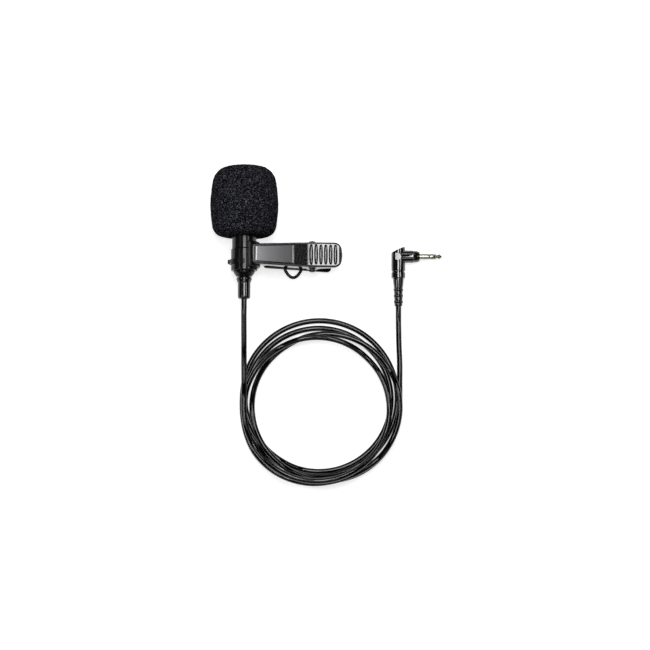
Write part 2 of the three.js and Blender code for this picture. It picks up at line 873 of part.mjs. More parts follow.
// Lower jaw and its lever: one moulding with two ears on the pin and sockets for the cable eye.
function lowerJaw() {
  const body = drawnAlongY(jawSide(), -jawHalfWidth - 1, jawHalfWidth + 1).intersect(
    drawnAlongZ(jawOutline(0, jawTip - 0.3, jawHeelReach + jawHeelRadius), -14, 4),
  );
  const earSide = new THREE.Shape();
  earSide.moveTo(pinPosition + jawEarRadius, jawStep - 0.6);
  for (let i = 0; i <= 8; i++) {
    const angle = (i / 8) * Math.PI;
    earSide.lineTo(
      pinPosition + jawEarRadius * Math.cos(angle),
      jawEarRadius * Math.sin(angle),
    );
  }
  earSide.lineTo(pinPosition - jawEarRadius, jawStep - 0.6);
  earSide.closePath();
  const ears = drawnAlongY(earSide, jawEarInner, jawEarOuter).add(
    drawnAlongY(earSide, -jawEarOuter, -jawEarInner),
  );
  const pinBore = rodAlongY(pinRadius + clearance / 2, -9, 9, smallFacets, pinPosition);
  const padSeat = block(
    [padStart, -padHalfWidth - clearance / 2, jawGrip - padThickness],
    [padEnd + clearance / 2, padHalfWidth + clearance / 2, gripHeight + 3],
  );
  const sockets = [-1, 1].map((side) =>
    rodAlongY(
      eyeThickness / 2 + clearance,
      -jawHalfWidth - 2,
      -jawHalfWidth + eyeSocketDepth + clearance,
      smallFacets,
      eyePosition + side * eyeHalf,
      eyeHeight,
    ),
  );
  return body
    .add(ears)
    .subtract(pinBore)
    .subtract(padSeat)
    .subtract(sockets[0])
    .subtract(sockets[1]);
}

const padStart = jawTip + 2.4;
const padEnd = jawGripEnd - 0.7;
const padHalfWidth = 3.1;
const eyeHeight = jawGrip - eyeDrop;

// Soft pad set in the lower jaw's grip, with cross ridges that press on the cloth.
function gripPad() {
  const floor = jawGrip - padThickness + clearance;
  const top = jawGrip;
  const side = new THREE.Shape();
  const length = padEnd - padStart - clearance;
  const ridges = 7;
  const start = padStart + clearance / 2;
  side.moveTo(start, floor);
  side.lineTo(start + length, floor);
  side.lineTo(start + length, top);
  for (let i = ridges - 1; i >= 0; i--) {
    const x = start + ((i + 0.5) / ridges) * length;
    side.lineTo(x + 0.55, top);
    side.lineTo(x + 0.3, top + 0.35);
    side.lineTo(x - 0.3, top + 0.35);
    side.lineTo(x - 0.55, top);
  }
  side.lineTo(start, top);
  side.closePath();
  return drawnAlongY(side, -padHalfWidth + clearance / 2, padHalfWidth - clearance / 2);
}

// Cable eye: a round bar bent to a bow, both ends plugged into the lower jaw's side.
function cableEye() {
  const half = eyeHalf;
  const reach = eyeReach - eyeThickness / 2;
  const side = -jawHalfWidth;
  const foot = side + eyeSocketDepth;
  const points = [new THREE.Vector3(-half, foot, 0), new THREE.Vector3(-half, side - 0.2, 0)];
  for (let i = 1; i < 8; i++) {
    const across = i / 4 - 1;
    const out = side - 0.4 - reach * (1 - across * across);
    points.push(new THREE.Vector3(half * across, out, 0));
  }
  points.push(new THREE.Vector3(half, side - 0.2, 0), new THREE.Vector3(half, foot, 0));
  const curve = new THREE.CatmullRomCurve3(points, false, "centripetal");
  const bar = barAlong(curve, eyeThickness / 2, 10, 26);
  bar.translate(eyePosition, 0, eyeHeight);
  return bar;
}

// Hinge pin with a domed head at each end.
function hingePin() {
  const face = leverRearHalfWidth + clearance;
  const end = face + pinHeadHeight;
  const half = [
    [pinRadius, face],
    [pinHeadRadius, face],
    [pinHeadRadius, face + 0.3],
    [pinHeadRadius * 0.75, face + 0.65],
    [pinHeadRadius * 0.35, end - 0.04],
    [0, end],
  ];
  const mirrored = half.map(([r, y]) => [r, -y]).reverse();
  const pin = turned([...mirrored, ...half], smallFacets);
  return pin.translate([pinPosition, 0, 0]);
}

// Torsion spring round the pin: its turns and two straight legs that press the levers apart.
function jawSpring() {
  const radius = pinRadius + 2 * clearance + springWire / 2;
  const curlSteps = 8;
  const steps = Math.round((springTurns + 0.5) * curlSteps);
  const first = (-springTurns * springPitch) / 2;
  const upperLeg = leverTop - leverRoof - clearance - springWire / 2 - 0.15;
  const points = [new THREE.Vector3(springLegReach, first, upperLeg)];
  for (let i = 0; i <= steps; i++) {
    const angle = Math.PI / 2 + (i / curlSteps) * 2 * Math.PI;
    points.push(
      new THREE.Vector3(
        radius * Math.cos(angle),
        first + (i / curlSteps) * springPitch,
        radius * Math.sin(angle),
      ),
    );
  }
  const last = points[points.length - 1].y;
  const lowerLeg = jawLeverTopAt(pinPosition + springLegReach) + springWire + 2 * clearance;
  points.push(new THREE.Vector3(springLegReach, last, lowerLeg));
  const wire = new THREE.CatmullRomCurve3(points, false, "centripetal");
  const bar = barAlong(wire, springWire / 2, 5, points.length * 2);
  bar.translate(pinPosition, 0, 0);
  return bar;
}

addSolid(clip, "holder_ring", holderRing(), mouldedBlack);
addSolid(clip, "upper_jaw", upperJaw(), glossBlack);
addSolid(clip, "face_plate", facePlate(), greyPlate);
addSolid(clip, "hinge_pin", hingePin(), steel);
addMesh(clip, "jaw_spring", jawSpring(), steel);
addSolid(clip, "lower_jaw", lowerJaw(), glossBlack);
addSolid(clip, "grip_pad", gripPad(), rubberBlack);
addMesh(clip, "cable_eye", cableEye(), mouldedBlack);

// ---------------------------------------------------------------- plug
// Built with the jack pointing along +X and the cable leaving along -Y; it lies on its side.

const plug = new THREE.Group();
plug.position.set(plugPlace.x, plugPlace.y, plugBodyRadius);
lavalier.add(plug);

const reliefBore = coreRadius + clearance;
const reliefStubRadius = reliefBore + bootStubWall;

// Elbow: an upright body with a slanted end, an arm that carries the jack, and a cable socket.
function plugHousing() {
  const low = -plugBodyBelowAxis;
  const high = plugApexAboveAxis;
  const grooveLow = low + plugGrooveFromEnd;
  const grooveHigh = grooveLow + plugGrooveWidth;
  const upright = turned(
    [
      [0, low],
      [plugBodyRadius - 0.25, low],
      [plugBodyRadius, low + 0.25],
      [plugBodyRadius, grooveLow],
      [plugBodyRadius - plugGrooveDepth, grooveLow + 0.2],
      [plugBodyRadius - plugGrooveDepth, grooveHigh - 0.2],
      [plugBodyRadius, grooveHigh],
      [plugBodyRadius, high],
      [0, high],
    ],
    mediumFacets,
  );
  const arm = turnedAlongX(
    [
      [0, 0],
      [plugArmRadius, 0],
      [plugArmRadius, plugArmReach - 1.5],
      [plugArmRadius - 0.2, plugArmReach - 1.35],
      [plugArmRadius - 0.2, plugArmReach],
      [plugNoseRadius, plugNoseReach],
      [0, plugNoseReach],
    ],
    mediumFacets,
  );
  const edge = plugBodyRadius + 0.1;
  const slant = outlineOf([
    [-edge - 1, high - plugCutRise - 0.3],
    [-edge, high - plugCutRise],
    [plugBodyRadius - 0.35, high],
    [plugBodyRadius + 0.9, plugArmRadius + 0.1],
    [plugBodyRadius + 0.9, high + 3],
    [-edge - 1, high + 3],
  ]);
  const slantCut = drawnAlongZ(slant, -plugBodyRadius - 1, plugBodyRadius + 1);
  const discSeat = rodAlongY(plugDiscRadius, 0, 2, smallFacets)
    .rotate([90, 0, 0])
    .translate([-0.4, -0.2, plugBodyRadius - plugDiscDepth]);
  const cableBore = rodAlongY(reliefStubRadius + clearance, low - 1, low + bootStubLength, smallFacets);
  const jackBore = turnedAlongX(
    [
      [0, plugNoseReach - 5],
      [jackRadius + clearance, plugNoseReach - 5],
      [jackRadius + clearance, plugNoseReach + 1],
      [0, plugNoseReach + 1],
    ],
    smallFacets,
  );
  return upright.add(arm).subtract(slantCut).subtract(discSeat).subtract(cableBore).subtract(jackBore);
}

// Bend relief: a stub inside the housing, a tapered head and a ribbed tail down the cable.
function plugBoot() {
  const top = -plugBodyBelowAxis - clearance;
  const stubTop = top + bootStubLength;
  const neck = top - bootHeadLength;
  const end = top - bootLength;
  const endRadius = reliefBore + bootEndWall;
  const step = (neck - end) / bootRibCount;
  const coreAt = (y) => endRadius + ((bootNeckRadius - endRadius) * (y - end)) / (neck - end);
  const tail = [];
  for (let i = 0; i < bootRibCount; i++) {
    const foot = neck - (i + 0.1) * step;
    const crest = neck - (i + 0.2) * step;
    const crestEnd = neck - (i + 0.42) * step;
    const footEnd = neck - (i + 0.55) * step;
    tail.push([coreAt(foot), foot], [coreAt(crest) + bootRibHeight, crest]);
    tail.push([coreAt(crestEnd) + bootRibHeight, crestEnd], [coreAt(footEnd), footEnd]);
  }
  return turned(
    [
      [reliefBore, stubTop],
      [reliefStubRadius, stubTop],
      [reliefStubRadius, top],
      [bootHeadRadius, top],
      [bootHeadRadius - 0.1, top - 1.6],
      ...tail,
      [endRadius, end + 0.3],
      [reliefBore + bootEndWall / 2, end],
      [reliefBore, end],
      [reliefBore, stubTop],
    ],
    smallFacets,
  );
}

const jackRear = plugNoseReach - 5 + clearance;
const jackEnd = plugNoseReach + jackReach;
const tipRear = jackEnd - jackTipLength;
const frontInsulatorRear = tipRear - jackInsulatorLength;
const ringRear = frontInsulatorRear - jackRingLength;
const rearInsulatorRear = ringRear - jackInsulatorLength;
const jackCoreGap = 0.12;

// Sleeve contact: the jack's long tube, with a flange inside the nose.
function sleeveContact() {
  const end = rearInsulatorRear - jackCoreGap;
  const bore = jackCoreRadius + 0.3;
  return turnedAlongX(
    [
      [bore, jackRear],
      [jackRadius, jackRear],
      [jackRadius, end - 0.1],
      [jackRadius - 0.1, end],
      [bore, end],
      [bore, jackRear],
    ],
    smallFacets,
  );
}

// One insulating washer between two contacts.
function insulator(rear) {
  const bore = jackCoreRadius + jackCoreGap;
  return turnedAlongX(
    [
      [bore, rear],
      [jackInsulatorRadius, rear],
      [jackInsulatorRadius, rear + jackInsulatorLength - jackCoreGap],
      [bore, rear + jackInsulatorLength - jackCoreGap],
      [bore, rear],
    ],
    smallFacets,
  );
}

function ringContact() {
  const bore = jackCoreRadius + jackCoreGap;
  return turnedAlongX(
    [
      [bore, ringRear],
      [jackRadius - 0.08, ringRear],
      [jackRadius, ringRear + 0.1],
      [jackRadius, ringRear + jackRingLength - jackCoreGap - 0.1],
      [jackRadius - 0.08, ringRear + jackRingLength - jackCoreGap],
      [bore, ringRear + jackRingLength - jackCoreGap],
      [bore, ringRear],
    ],
    smallFacets,
  );
}

// Tip contact: conical nose, waist, shoulder, and the core rod that runs back through the jack.
function tipContact() {
  return turnedAlongX(
    [
      [0, jackRear],
      [jackCoreRadius, jackRear],
      [jackCoreRadius, tipRear],
      [jackRadius - 0.06, tipRear],
      [jackRadius, tipRear + 0.12],
      [jackRadius, tipRear + 0.3],
      [jackTipNeck, tipRear + 0.85],
      [jackTipNeck + 0.05, tipRear + 1.15],
      [jackRadius - 0.1, tipRear + 1.75],
      [jackRadius - 0.12, tipRear + 2],
      [0.55, jackEnd - 0.25],
      [0.3, jackEnd],
      [0, jackEnd],
    ],
    smallFacets,
  );
}

addSolid(plug, "plug_housing", plugHousing(), glossBlack);
addSolid(plug, "plug_boot", plugBoot(), rubberBlack);
addSolid(plug, "jack_sleeve", sleeveContact(), paleGold);
addSolid(plug, "jack_insulator_rear", insulator(rearInsulatorRear), insulatorBlack);
addSolid(plug, "jack_ring", ringContact(), paleGold);
addSolid(plug, "jack_insulator_front", insulator(frontInsulatorRear), insulatorBlack);
addSolid(plug, "jack_tip", tipContact(), paleGold);

// ---------------------------------------------------------------- cable

const cordRadius = cableDiameter / 2;

// Smooth change from 0 to 1.
const ease = (t) => {
  const bounded = Math.min(Math.max(t, 0), 1);
  return bounded * bounded * (3 - 2 * bounded);
};

// Middle and radius of the coil's circle at a point of the winding, in turns from its start.
function circleAt(turns) {
  const circle = { ...coilTurns[0] };
  for (let i = 1; i < coilTurns.length; i++) {
    const share = ease((turns - coilTurns[i - 1].ends) / coilBlend + 0.5);
    for (const key of ["x", "y", "radius"]) {
      circle[key] += (coilTurns[i][key] - circle[key]) * share;
    }
  }
  return circle;
}

const layingAt = (turns) =>
  coilLaying.reduce((level, entry) => (turns >= entry.from ? entry.level : level), 0);

// The coil's points in plan, one per step, with a straight run of one diameter at each end.
function coilPlan() {
  const turns = coilTurns[coilTurns.length - 1].ends;
  const steps = Math.round(turns * stepsPerTurn);
  const plan = [];
  for (let i = 0; i <= steps; i++) {
    const at = (i / steps) * turns;
    const { x, y, radius } = circleAt(at);
    const angle = Math.PI + 2 * Math.PI * at;
    plan.push({
      x: x + radius * Math.cos(angle),
      y: y + radius * Math.sin(angle),
      level: layingAt(at),
    });
  }
  const straight = (end) => ({ ...end, y: end.y + cableDiameter });
  return [straight(plan[0]), ...plan, straight(plan[plan.length - 1])];
}

// Lifts each point until its stretch lies clear of everything laid down before it.
function settled(plan) {
  const need = cableDiameter + coilGap;
  const z = plan.map(() => cordRadius + coilRest);
  const samples = 5;
  const lerp = (a, b, t) => a + (b - a) * t;
  const marks = [];
  for (let i = 0; i + 1 < plan.length; i++) {
    for (let k = 0; k < samples; k++) {
      const t = k / samples;
      marks.push({
        i,
        t,
        x: lerp(plan[i].x, plan[i + 1].x, t),
        y: lerp(plan[i].y, plan[i + 1].y, t),
        level: plan[i].level,
      });
    }
  }
  const pairs = [];
  for (const upper of marks) {
    for (const lower of marks) {
      const apart = Math.hypot(upper.x - lower.x, upper.y - lower.y);
      const neighbours = Math.abs(upper.i - lower.i) < 4;
      if (!neighbours && upper.level > lower.level && apart < need) {
        pairs.push({ upper, lower, rise: Math.sqrt(need * need - apart * apart) });
      }
    }
  }
  const heightAt = (mark) => lerp(z[mark.i], z[mark.i + 1], mark.t);
  for (let pass = 0; pass < 30; pass++) {
    let moved = false;
    for (const { upper, lower, rise } of pairs) {
      const wanted = heightAt(lower) + rise;
      if (wanted > heightAt(upper) + 1e-3) moved = true;
      z[upper.i] = Math.max(z[upper.i], wanted);
      z[upper.i + 1] = Math.max(z[upper.i + 1], wanted);
    }
    for (let i = 1; i < z.length; i++) {
      const step = Math.hypot(plan[i].x - plan[i - 1].x, plan[i].y - plan[i - 1].y);
      z[i] = Math.max(z[i], z[i - 1] - coilSteepest * step);
    }
    for (let i = z.length - 2; i >= 0; i--) {
      const step = Math.hypot(plan[i].x - plan[i + 1].x, plan[i].y - plan[i + 1].y);
      z[i] = Math.max(z[i], z[i + 1] - coilSteepest * step);
    }
    if (!moved) break;
  }
  z[0] = z[1];
  z[z.length - 1] = z[z.length - 2];
  return plan.map(({ x, y }, i) => new THREE.Vector3(x, y, z[i]));
}

// Least distance between two stretches of the same tube, from its centreline's own points.
function leastSelfGap(points, diameter) {
  let least = Infinity;
  const fine = [];
  for (let i = 0; i + 1 < points.length; i++) {
    for (let k = 0; k < 6; k++) fine.push(points[i].clone().lerp(points[i + 1], k / 6));
  }
  for (let i = 0; i < fine.length; i++) {
    for (let j = i + 18; j < fine.length; j++) {
      least = Math.min(least, fine[i].distanceTo(fine[j]));
    }
  }
  return least - diameter;
}

const coilPoints = settled(coilPlan());
const coilCurve = new THREE.CatmullRomCurve3(coilPoints, false, "centripetal");
coilCurve.arcLengthDivisions = 4000;
const coilSteps = coilPoints.length - 1;
const coil = barAlong(coilCurve, cordRadius, coilSides, coilSteps);
const coilLeastGap = leastSelfGap(coilCurve.getSpacedPoints(coilSteps), cableDiameter);
console.log("coil: least gap to itself " + coilLeastGap.toFixed(2) + " mm");

const coilStart = coilPoints[0];
const coilEnd = coilPoints[coilPoints.length - 1];

// From the sleeve to the coil: chosen by hand, straight out at both ends.
const sleeveMouth = new THREE.Vector3(
  microphonePlace.x,
  microphonePlace.y + sleeveEnd - clearance,
  foamRadius,
);
const microphoneRun = new THREE.CatmullRomCurve3(
  [
    sleeveMouth,
    sleeveMouth.clone().add(new THREE.Vector3(0, -3, 0)),
    sleeveMouth.clone().add(new THREE.Vector3(-0.05, -6, -0.1)),
    sleeveMouth.clone().lerp(coilStart, 0.4).add(new THREE.Vector3(0, 0, 0.2)),
    sleeveMouth.clone().lerp(coilStart, 0.62).add(new THREE.Vector3(0, 0, -0.3)),
    coilStart.clone().add(new THREE.Vector3(0.1, 9, 1)),
    coilStart.clone().add(new THREE.Vector3(0, 3 + clearance, 0)),
    coilStart.clone().add(new THREE.Vector3(0, clearance, 0)),
  ],
  false,
  "centripetal",
);

// From the coil to the plug's bend relief.
const bootMouth = new THREE.Vector3(
  plugPlace.x,
  plugPlace.y - plugBodyBelowAxis - bootLength - 2 * clearance,
  plugBodyRadius,
);
const plugRun = new THREE.CatmullRomCurve3(
  [
    coilEnd.clone().add(new THREE.Vector3(0, clearance, 0)),
    coilEnd.clone().add(new THREE.Vector3(0, 3 + clearance, 0)),
    coilEnd.clone().add(new THREE.Vector3(0, 9, 0.1)),
    coilEnd.clone().add(new THREE.Vector3(0.05, 17, -0.2)),
    coilEnd.clone().lerp(bootMouth, 0.6).setZ(3.4),
    bootMouth.clone().add(new THREE.Vector3(0, -6, -0.3)),
    bootMouth.clone().add(new THREE.Vector3(0, -3, 0)),
    bootMouth,
  ],
  false,
  "centripetal",
);

const runSteps = (curve) => Math.ceil(curve.getLength() / (2.4 * cableDiameter));
addMesh(
  lavalier,
  "cable_from_microphone",
  barAlong(microphoneRun, cordRadius, cableSides, runSteps(microphoneRun)),
  cableBlack,
);
addMesh(lavalier, "cable_coil", coil, cableBlack);
addMesh(
  lavalier,
  "cable_to_plug",
  barAlong(plugRun, cordRadius, cableSides, runSteps(plugRun)),
  cableBlack,
);

const cableLength = microphoneRun.getLength() + coilCurve.getLength() + plugRun.getLength();
console.log("cable: " + cableLength.toFixed(0) + " mm in view");

// ---------------------------------------------------------------- origin
// Under the middle of the microphone and clip's own box, on the surface.

lavalier.updateMatrixWorld(true);
const ownBox = new THREE.Box3().setFromObject(microphone, true);
lavalier.position.set(
  -(ownBox.min.x + ownBox.max.x) / 2,
  -(ownBox.min.y + ownBox.max.y) / 2,
  0,
);

export default part;
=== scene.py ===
"""Looks of a clip-on lavalier microphone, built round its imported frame.

The classes hold their sizes in millimetres, as a maker writes them; meshes are
made in metres, in the frame's own axes. One class per sub-assembly builds its
pieces, dresses them and ties them to the bodies they move with.
"""

import logging
import math
from dataclasses import dataclass
from enum import Enum
from typing import Any, ClassVar, Mapping, Sequence

import bmesh
import bpy
import numpy as np
from mathutils import Matrix, Vector


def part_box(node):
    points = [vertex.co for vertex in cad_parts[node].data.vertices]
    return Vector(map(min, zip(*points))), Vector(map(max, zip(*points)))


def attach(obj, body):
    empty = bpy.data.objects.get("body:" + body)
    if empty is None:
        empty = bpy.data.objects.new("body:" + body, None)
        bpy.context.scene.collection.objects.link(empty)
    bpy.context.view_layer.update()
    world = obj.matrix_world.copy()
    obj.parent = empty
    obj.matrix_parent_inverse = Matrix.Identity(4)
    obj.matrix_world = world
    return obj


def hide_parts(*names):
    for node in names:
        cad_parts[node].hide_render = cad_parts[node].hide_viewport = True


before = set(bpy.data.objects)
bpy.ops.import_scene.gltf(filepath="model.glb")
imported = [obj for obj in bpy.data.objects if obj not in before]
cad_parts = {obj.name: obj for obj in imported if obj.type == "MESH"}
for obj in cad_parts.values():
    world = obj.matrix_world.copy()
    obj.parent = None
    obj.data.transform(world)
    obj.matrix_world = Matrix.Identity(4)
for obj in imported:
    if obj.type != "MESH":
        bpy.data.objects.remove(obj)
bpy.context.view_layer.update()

LOG = logging.getLogger("lavalier")
MM = 0.001
TURN = 2 * math.pi
MILLIMETRES = Matrix.Scale(MM, 4)

Thing = bpy.types.Object
Point2 = tuple[float, float]
Point3 = tuple[float, float, float]
Profile = list[Point2]
Colour = tuple[float, float, float]


# ---- options


class Axis(Enum):
    """Direction in which a piece is turned or drawn out, by its coordinate's place."""

    X = 0
    Y = 1
    Z = 2


class Cut(Enum):
    """How one solid changes another."""

    JOIN = "UNION"
    REMOVE = "DIFFERENCE"
    KEEP_COMMON = "INTERSECT"


class Body(Enum):
    """The moving bodies of the frame."""

    MICROPHONE = "microphone"
    WINDSCREEN = "windscreen"
    CLIP = "clip"
    LOWER_JAW = "lower_jaw"


# ---- node trees


class Wire:
    """An output socket on which Python's operators add Math nodes."""

    def __init__(self, graph: "Graph", socket: bpy.types.NodeSocket) -> None:
        """Keep the socket and the graph it belongs to."""
        self.graph = graph
        self.socket = socket

    def sibling(self, label: str) -> "Wire":
        """Return another output of the same node."""
        return Wire(self.graph, self.socket.node.outputs[label])

    def _math(self, operation: str, *values: Any) -> "Wire":
        """Add one Math node on the given values."""
        return self.graph.add("ShaderNodeMath", {"operation": operation}, dict(enumerate(values)))

    def __add__(self, other: Any) -> "Wire":
        """Return self + other."""
        return self._math("ADD", self, other)

    def __radd__(self, other: Any) -> "Wire":
        """Return other + self."""
        return self._math("ADD", other, self)

    def __sub__(self, other: Any) -> "Wire":
        """Return self - other."""
        return self._math("SUBTRACT", self, other)

    def __rsub__(self, other: Any) -> "Wire":
        """Return other - self."""
        return self._math("SUBTRACT", other, self)

    def __mul__(self, other: Any) -> "Wire":
        """Return self * other."""
        return self._math("MULTIPLY", self, other)

    def __rmul__(self, other: Any) -> "Wire":
        """Return other * self."""
        return self._math("MULTIPLY", other, self)

    def __truediv__(self, other: Any) -> "Wire":
        """Return self / other."""
        return self._math("DIVIDE", self, other)

    def __pow__(self, other: Any) -> "Wire":
        """Return self to the power of other."""
        return self._math("POWER", self, other)

    def clamped(self) -> "Wire":
        """Return the value held between 0 and 1."""
        settings = {"operation": "ADD", "use_clamp": True}
        return self.graph.add("ShaderNodeMath", settings, {0: self, 1: 0.0})


class Graph:
    """One node tree of a material, a world or a geometry modifier."""

    def __init__(self, tree: bpy.types.NodeTree) -> None:
        """Start on an empty tree."""
        self.tree = tree
        tree.nodes.clear()

    def add(
        self, kind: str, settings: Mapping[str, Any] | None = None,
        sockets: Mapping[Any, Any] | None = None, output: Any = 0,
    ) -> Wire:
        """Add a node of any kind.

        Args:
            kind: the node's type name.
            settings: properties set before its sockets; "stops" sets a ramp.
            sockets: values or wires, by the input's name or number.
            output: the output to return, by name or number.

        Returns:
            The chosen output as a wire.
        """
        node = self.tree.nodes.new(kind)
        for key, value in (settings or {}).items():
            if key == "stops":
                self._set_stops(node.color_ramp, value)
            else:
                setattr(node, key, value)
        for key, value in (sockets or {}).items():
            self._feed(node.inputs[key], value)
        return Wire(self, node.outputs[output] if len(node.outputs) else None)

    def _feed(self, socket: bpy.types.NodeSocket, value: Any) -> None:
        """Link a wire to an input, or set the input's own value.

        Args:
            socket: the input.
            value: a wire, a number, a text, a vector or a colour without its alpha.
        """
        if isinstance(value, Wire):
            self.tree.links.new(value.socket, socket)
        else:
            socket.default_value = (*value, 1.0) if socket.type == "RGBA" else value

    @staticmethod
    def _set_stops(ramp: bpy.types.ColorRamp, stops: Sequence[tuple[float, Any]]) -> None:
        """Replace a ramp's stops.

        Args:
            ramp: the ramp.
            stops: position and colour of each stop; a number stands for a grey.
        """
        while len(ramp.elements) > 1:
            ramp.elements.remove(ramp.elements[0])
        for index, (position, colour) in enumerate(stops):
            element = ramp.elements[0] if index == 0 else ramp.elements.new(position)
            element.position = position
            rgb = (colour,) * 3 if isinstance(colour, (int, float)) else colour
            element.color = (*rgb, 1.0)

    def coordinates(self, scale: Point3 = (1.0, 1.0, 1.0)) -> Wire:
        """Return object coordinates in millimetres, stretched by scale."""
        sockets = {
            "Vector": self.add("ShaderNodeTexCoord", output="Object"),
            "Scale": tuple(part / MM for part in scale),
        }
        return self.add("ShaderNodeMapping", {"vector_type": "POINT"}, sockets)

    def noise(self, where: Wire, scale: float, detail: float = 2.0) -> Wire:
        """Return noise from 0 to 1, with scale features to a unit of where."""
        sockets = {"Vector": where, "Scale": scale, "Detail": detail}
        return self.add("ShaderNodeTexNoise", {"noise_dimensions": "3D"}, sockets)

    def cells(self, where: Wire, scale: float) -> Wire:
        """Return the distance to the nearest of scattered cells' middles."""
        sockets = {"Vector": where, "Scale": scale, "Randomness": 1.0}
        return self.add("ShaderNodeTexVoronoi", {"feature": "F1"}, sockets, "Distance")

    def ramp(self, value: Wire, stops: Sequence[tuple[float, Any]]) -> Wire:
        """Return a value or colour read off a ramp."""
        return self.add("ShaderNodeValToRGB", {"stops": stops}, {"Fac": value}, "Color")

    def mix(self, share: Any, low: Any, high: Any) -> Wire:
        """Mix two colours by a share."""
        return self.add("ShaderNodeMix", {"data_type": "RGBA"}, {0: share, 6: low, 7: high}, 2)

    def bump(self, height: Wire, distance: float) -> Wire:
        """Return a normal bent by a height, its distance in millimetres."""
        sockets = {"Strength": 1.0, "Distance": distance * MM, "Height": height}
        return self.add("ShaderNodeBump", {}, sockets)


# ---- finishes


@dataclass(frozen=True)
class Finish:
    """A surface finish: a colour, a gloss and the small marks of its making.

    The grain and the patches are given in features to a millimetre, and the
    grain's depth in millimetres.
    """

    name: str
    slot: str
    colour: Colour
    roughness: float
    metallic: float = 0.0
    specular: float = 0.5
    coat: float = 0.0
    coat_roughness: float = 0.1
    grain: float = 9.0
    grain_depth: float = 0.0012
    mottle: float = 0.25
    patches: float = 0.35
    scuffs: float = 2.2

    def material(self) -> bpy.types.Material:
        """Return this finish's material, made on first use."""
        known = bpy.data.materials.get(self.name)
        if known:
            return known
        made = bpy.data.materials.new(self.name)
        made.use_nodes = True
        graph = Graph(made.node_tree)
        sockets = {
            "Metallic": self.metallic,
            "Specular IOR Level": self.specular,
            "Coat Weight": self.coat,
            "Coat Roughness": self.coat_roughness,
            **self.surface(graph),
        }
        shader = graph.add("ShaderNodeBsdfPrincipled", {}, sockets)
        graph.add("ShaderNodeOutputMaterial", {}, {"Surface": shader})
        made.diffuse_color = (*self.colour, 1.0)
        return made

    def mottled(self, graph: Graph, share: Wire) -> Wire:
        """Return the colour, darker or lighter by the mottle as the share goes from 0 to 1."""
        steps = (1.0 - self.mottle, 1.0 + self.mottle)
        return graph.mix(share, *(tuple(part * step for part in self.colour) for step in steps))

    def surface(self, graph: Graph) -> dict[str, Any]:
        """Return the sockets that vary over the surface.

        Args:
            graph: the material's graph.

        Returns:
            Principled input names with their wires.
        """
        where = graph.coordinates()
        broad = graph.noise(where, self.patches, 3.0)
        fine = graph.noise(where, self.grain, 3.0)
        scuffs = graph.noise(graph.coordinates((0.4, 3.0, 3.0)), self.scuffs, 4.0)
        return {
            "Base Color": self.mottled(graph, broad),
            "Roughness": (self.roughness * (0.82 + 0.22 * fine + 0.16 * scuffs)).clamped(),
            "Normal": graph.bump(fine, self.grain_depth),
        }


@dataclass(frozen=True)
class FoamFinish(Finish):
    """Open-cell foam: pits with painted shade between thin webs painted lighter as if lit, and a few
    painted glints.
    """

    cell: float = 1.0
    # painted light: the webs' colour is lighter than the pits' to stand for light falling on them
    lit_web_colour: Colour = (0.0068, 0.007, 0.0083)
    small_cells: float = 2.3
    contrast: float = 3.2
    # scale and strength of the painted glints: light dots in the colour standing for sparkle off the
    # cells
    glint_specks: float = 2.7
    glint_gain: float = 24.0
    web_depth: float = 0.28

    def surface(self, graph: Graph) -> dict[str, Any]:
        """Return colour, roughness and bump of the cells; the colour holds painted shade in the pits,
        webs painted lighter as if lit, and painted glints.
        """
        where = graph.coordinates()
        large = graph.cells(where, 1.0 / self.cell)
        small = graph.cells(where, self.small_cells / self.cell)
        glint_specks = graph.ramp(graph.noise(where, self.glint_specks), [(0.52, 0.0), (0.6, 1.0)])
        web = (large * 0.75 + small * 0.55) ** self.contrast
        # painted shade: the colour darkens from the webs into the pits, where shade falls
        shade = graph.ramp(web, [(0.1, self.colour), (0.6, self.lit_web_colour)])
        # painted glints: a few dots far lighter than the webs, standing for sparkle
        glint_colour = tuple(part * self.glint_gain for part in self.lit_web_colour)
        return {
            "Base Color": graph.mix((glint_specks * web * 2.0).clamped(), shade, glint_colour),
            "Roughness": (self.roughness - 0.25 * web).clamped(),
            "Normal": graph.bump(web, self.web_depth),
        }


@dataclass(frozen=True)
class BrushedFinish(Finish):
    """Metal or plate with fine lines along one direction."""

    stretch: Point3 = (0.3, 6.0, 6.0)
    lines: float = 2.5
    patches: float = 0.22

    def surface(self, graph: Graph) -> dict[str, Any]:
        """Return colour, roughness and bump of the brushed lines."""
        lines = graph.noise(graph.coordinates(self.stretch), self.lines, 5.0)
        broad = graph.noise(graph.coordinates(), self.patches, 3.0)
        return {
            "Base Color": self.mottled(graph, (broad * 0.6 + lines * 0.4).clamped()),
            "Roughness": (self.roughness * (0.75 + 0.5 * lines)).clamped(),
            "Normal": graph.bump(lines, self.grain_depth),
        }


FOAM = FoamFinish("black_foam", "foam_black", (0.0006, 0.0006, 0.0008), 0.95, specular=0.0)
ANODISED = Finish(
    "satin_black_metal", "black_anodised", (0.004, 0.004, 0.0045), 0.2,
    specular=0.36, grain_depth=0.0006,
)
MOULDED = Finish(
    "satin_black_moulding", "black_moulding", (0.004, 0.004, 0.0045), 0.24,
    specular=0.27, grain_depth=0.0008,
)
MATT = Finish("matt_black_moulding", "gloss_black", (0.003, 0.003, 0.0034), 0.5, specular=0.03)
GLOSS = Finish(
    "gloss_black_moulding", "gloss_black", (0.004, 0.004, 0.0045), 0.09,
    specular=1.0, grain=5.0, grain_depth=0.0003,
)
PLATE = BrushedFinish(
    "satin_grey_plate", "grey_plate", (0.132, 0.133, 0.137), 0.14, 0.5,
    mottle=0.12, grain_depth=0.0003,
)
RUBBER = Finish(
    "soft_black_rubber", "black_rubber", (0.003, 0.003, 0.0033), 0.14,
    specular=0.75, grain_depth=0.0003,
)
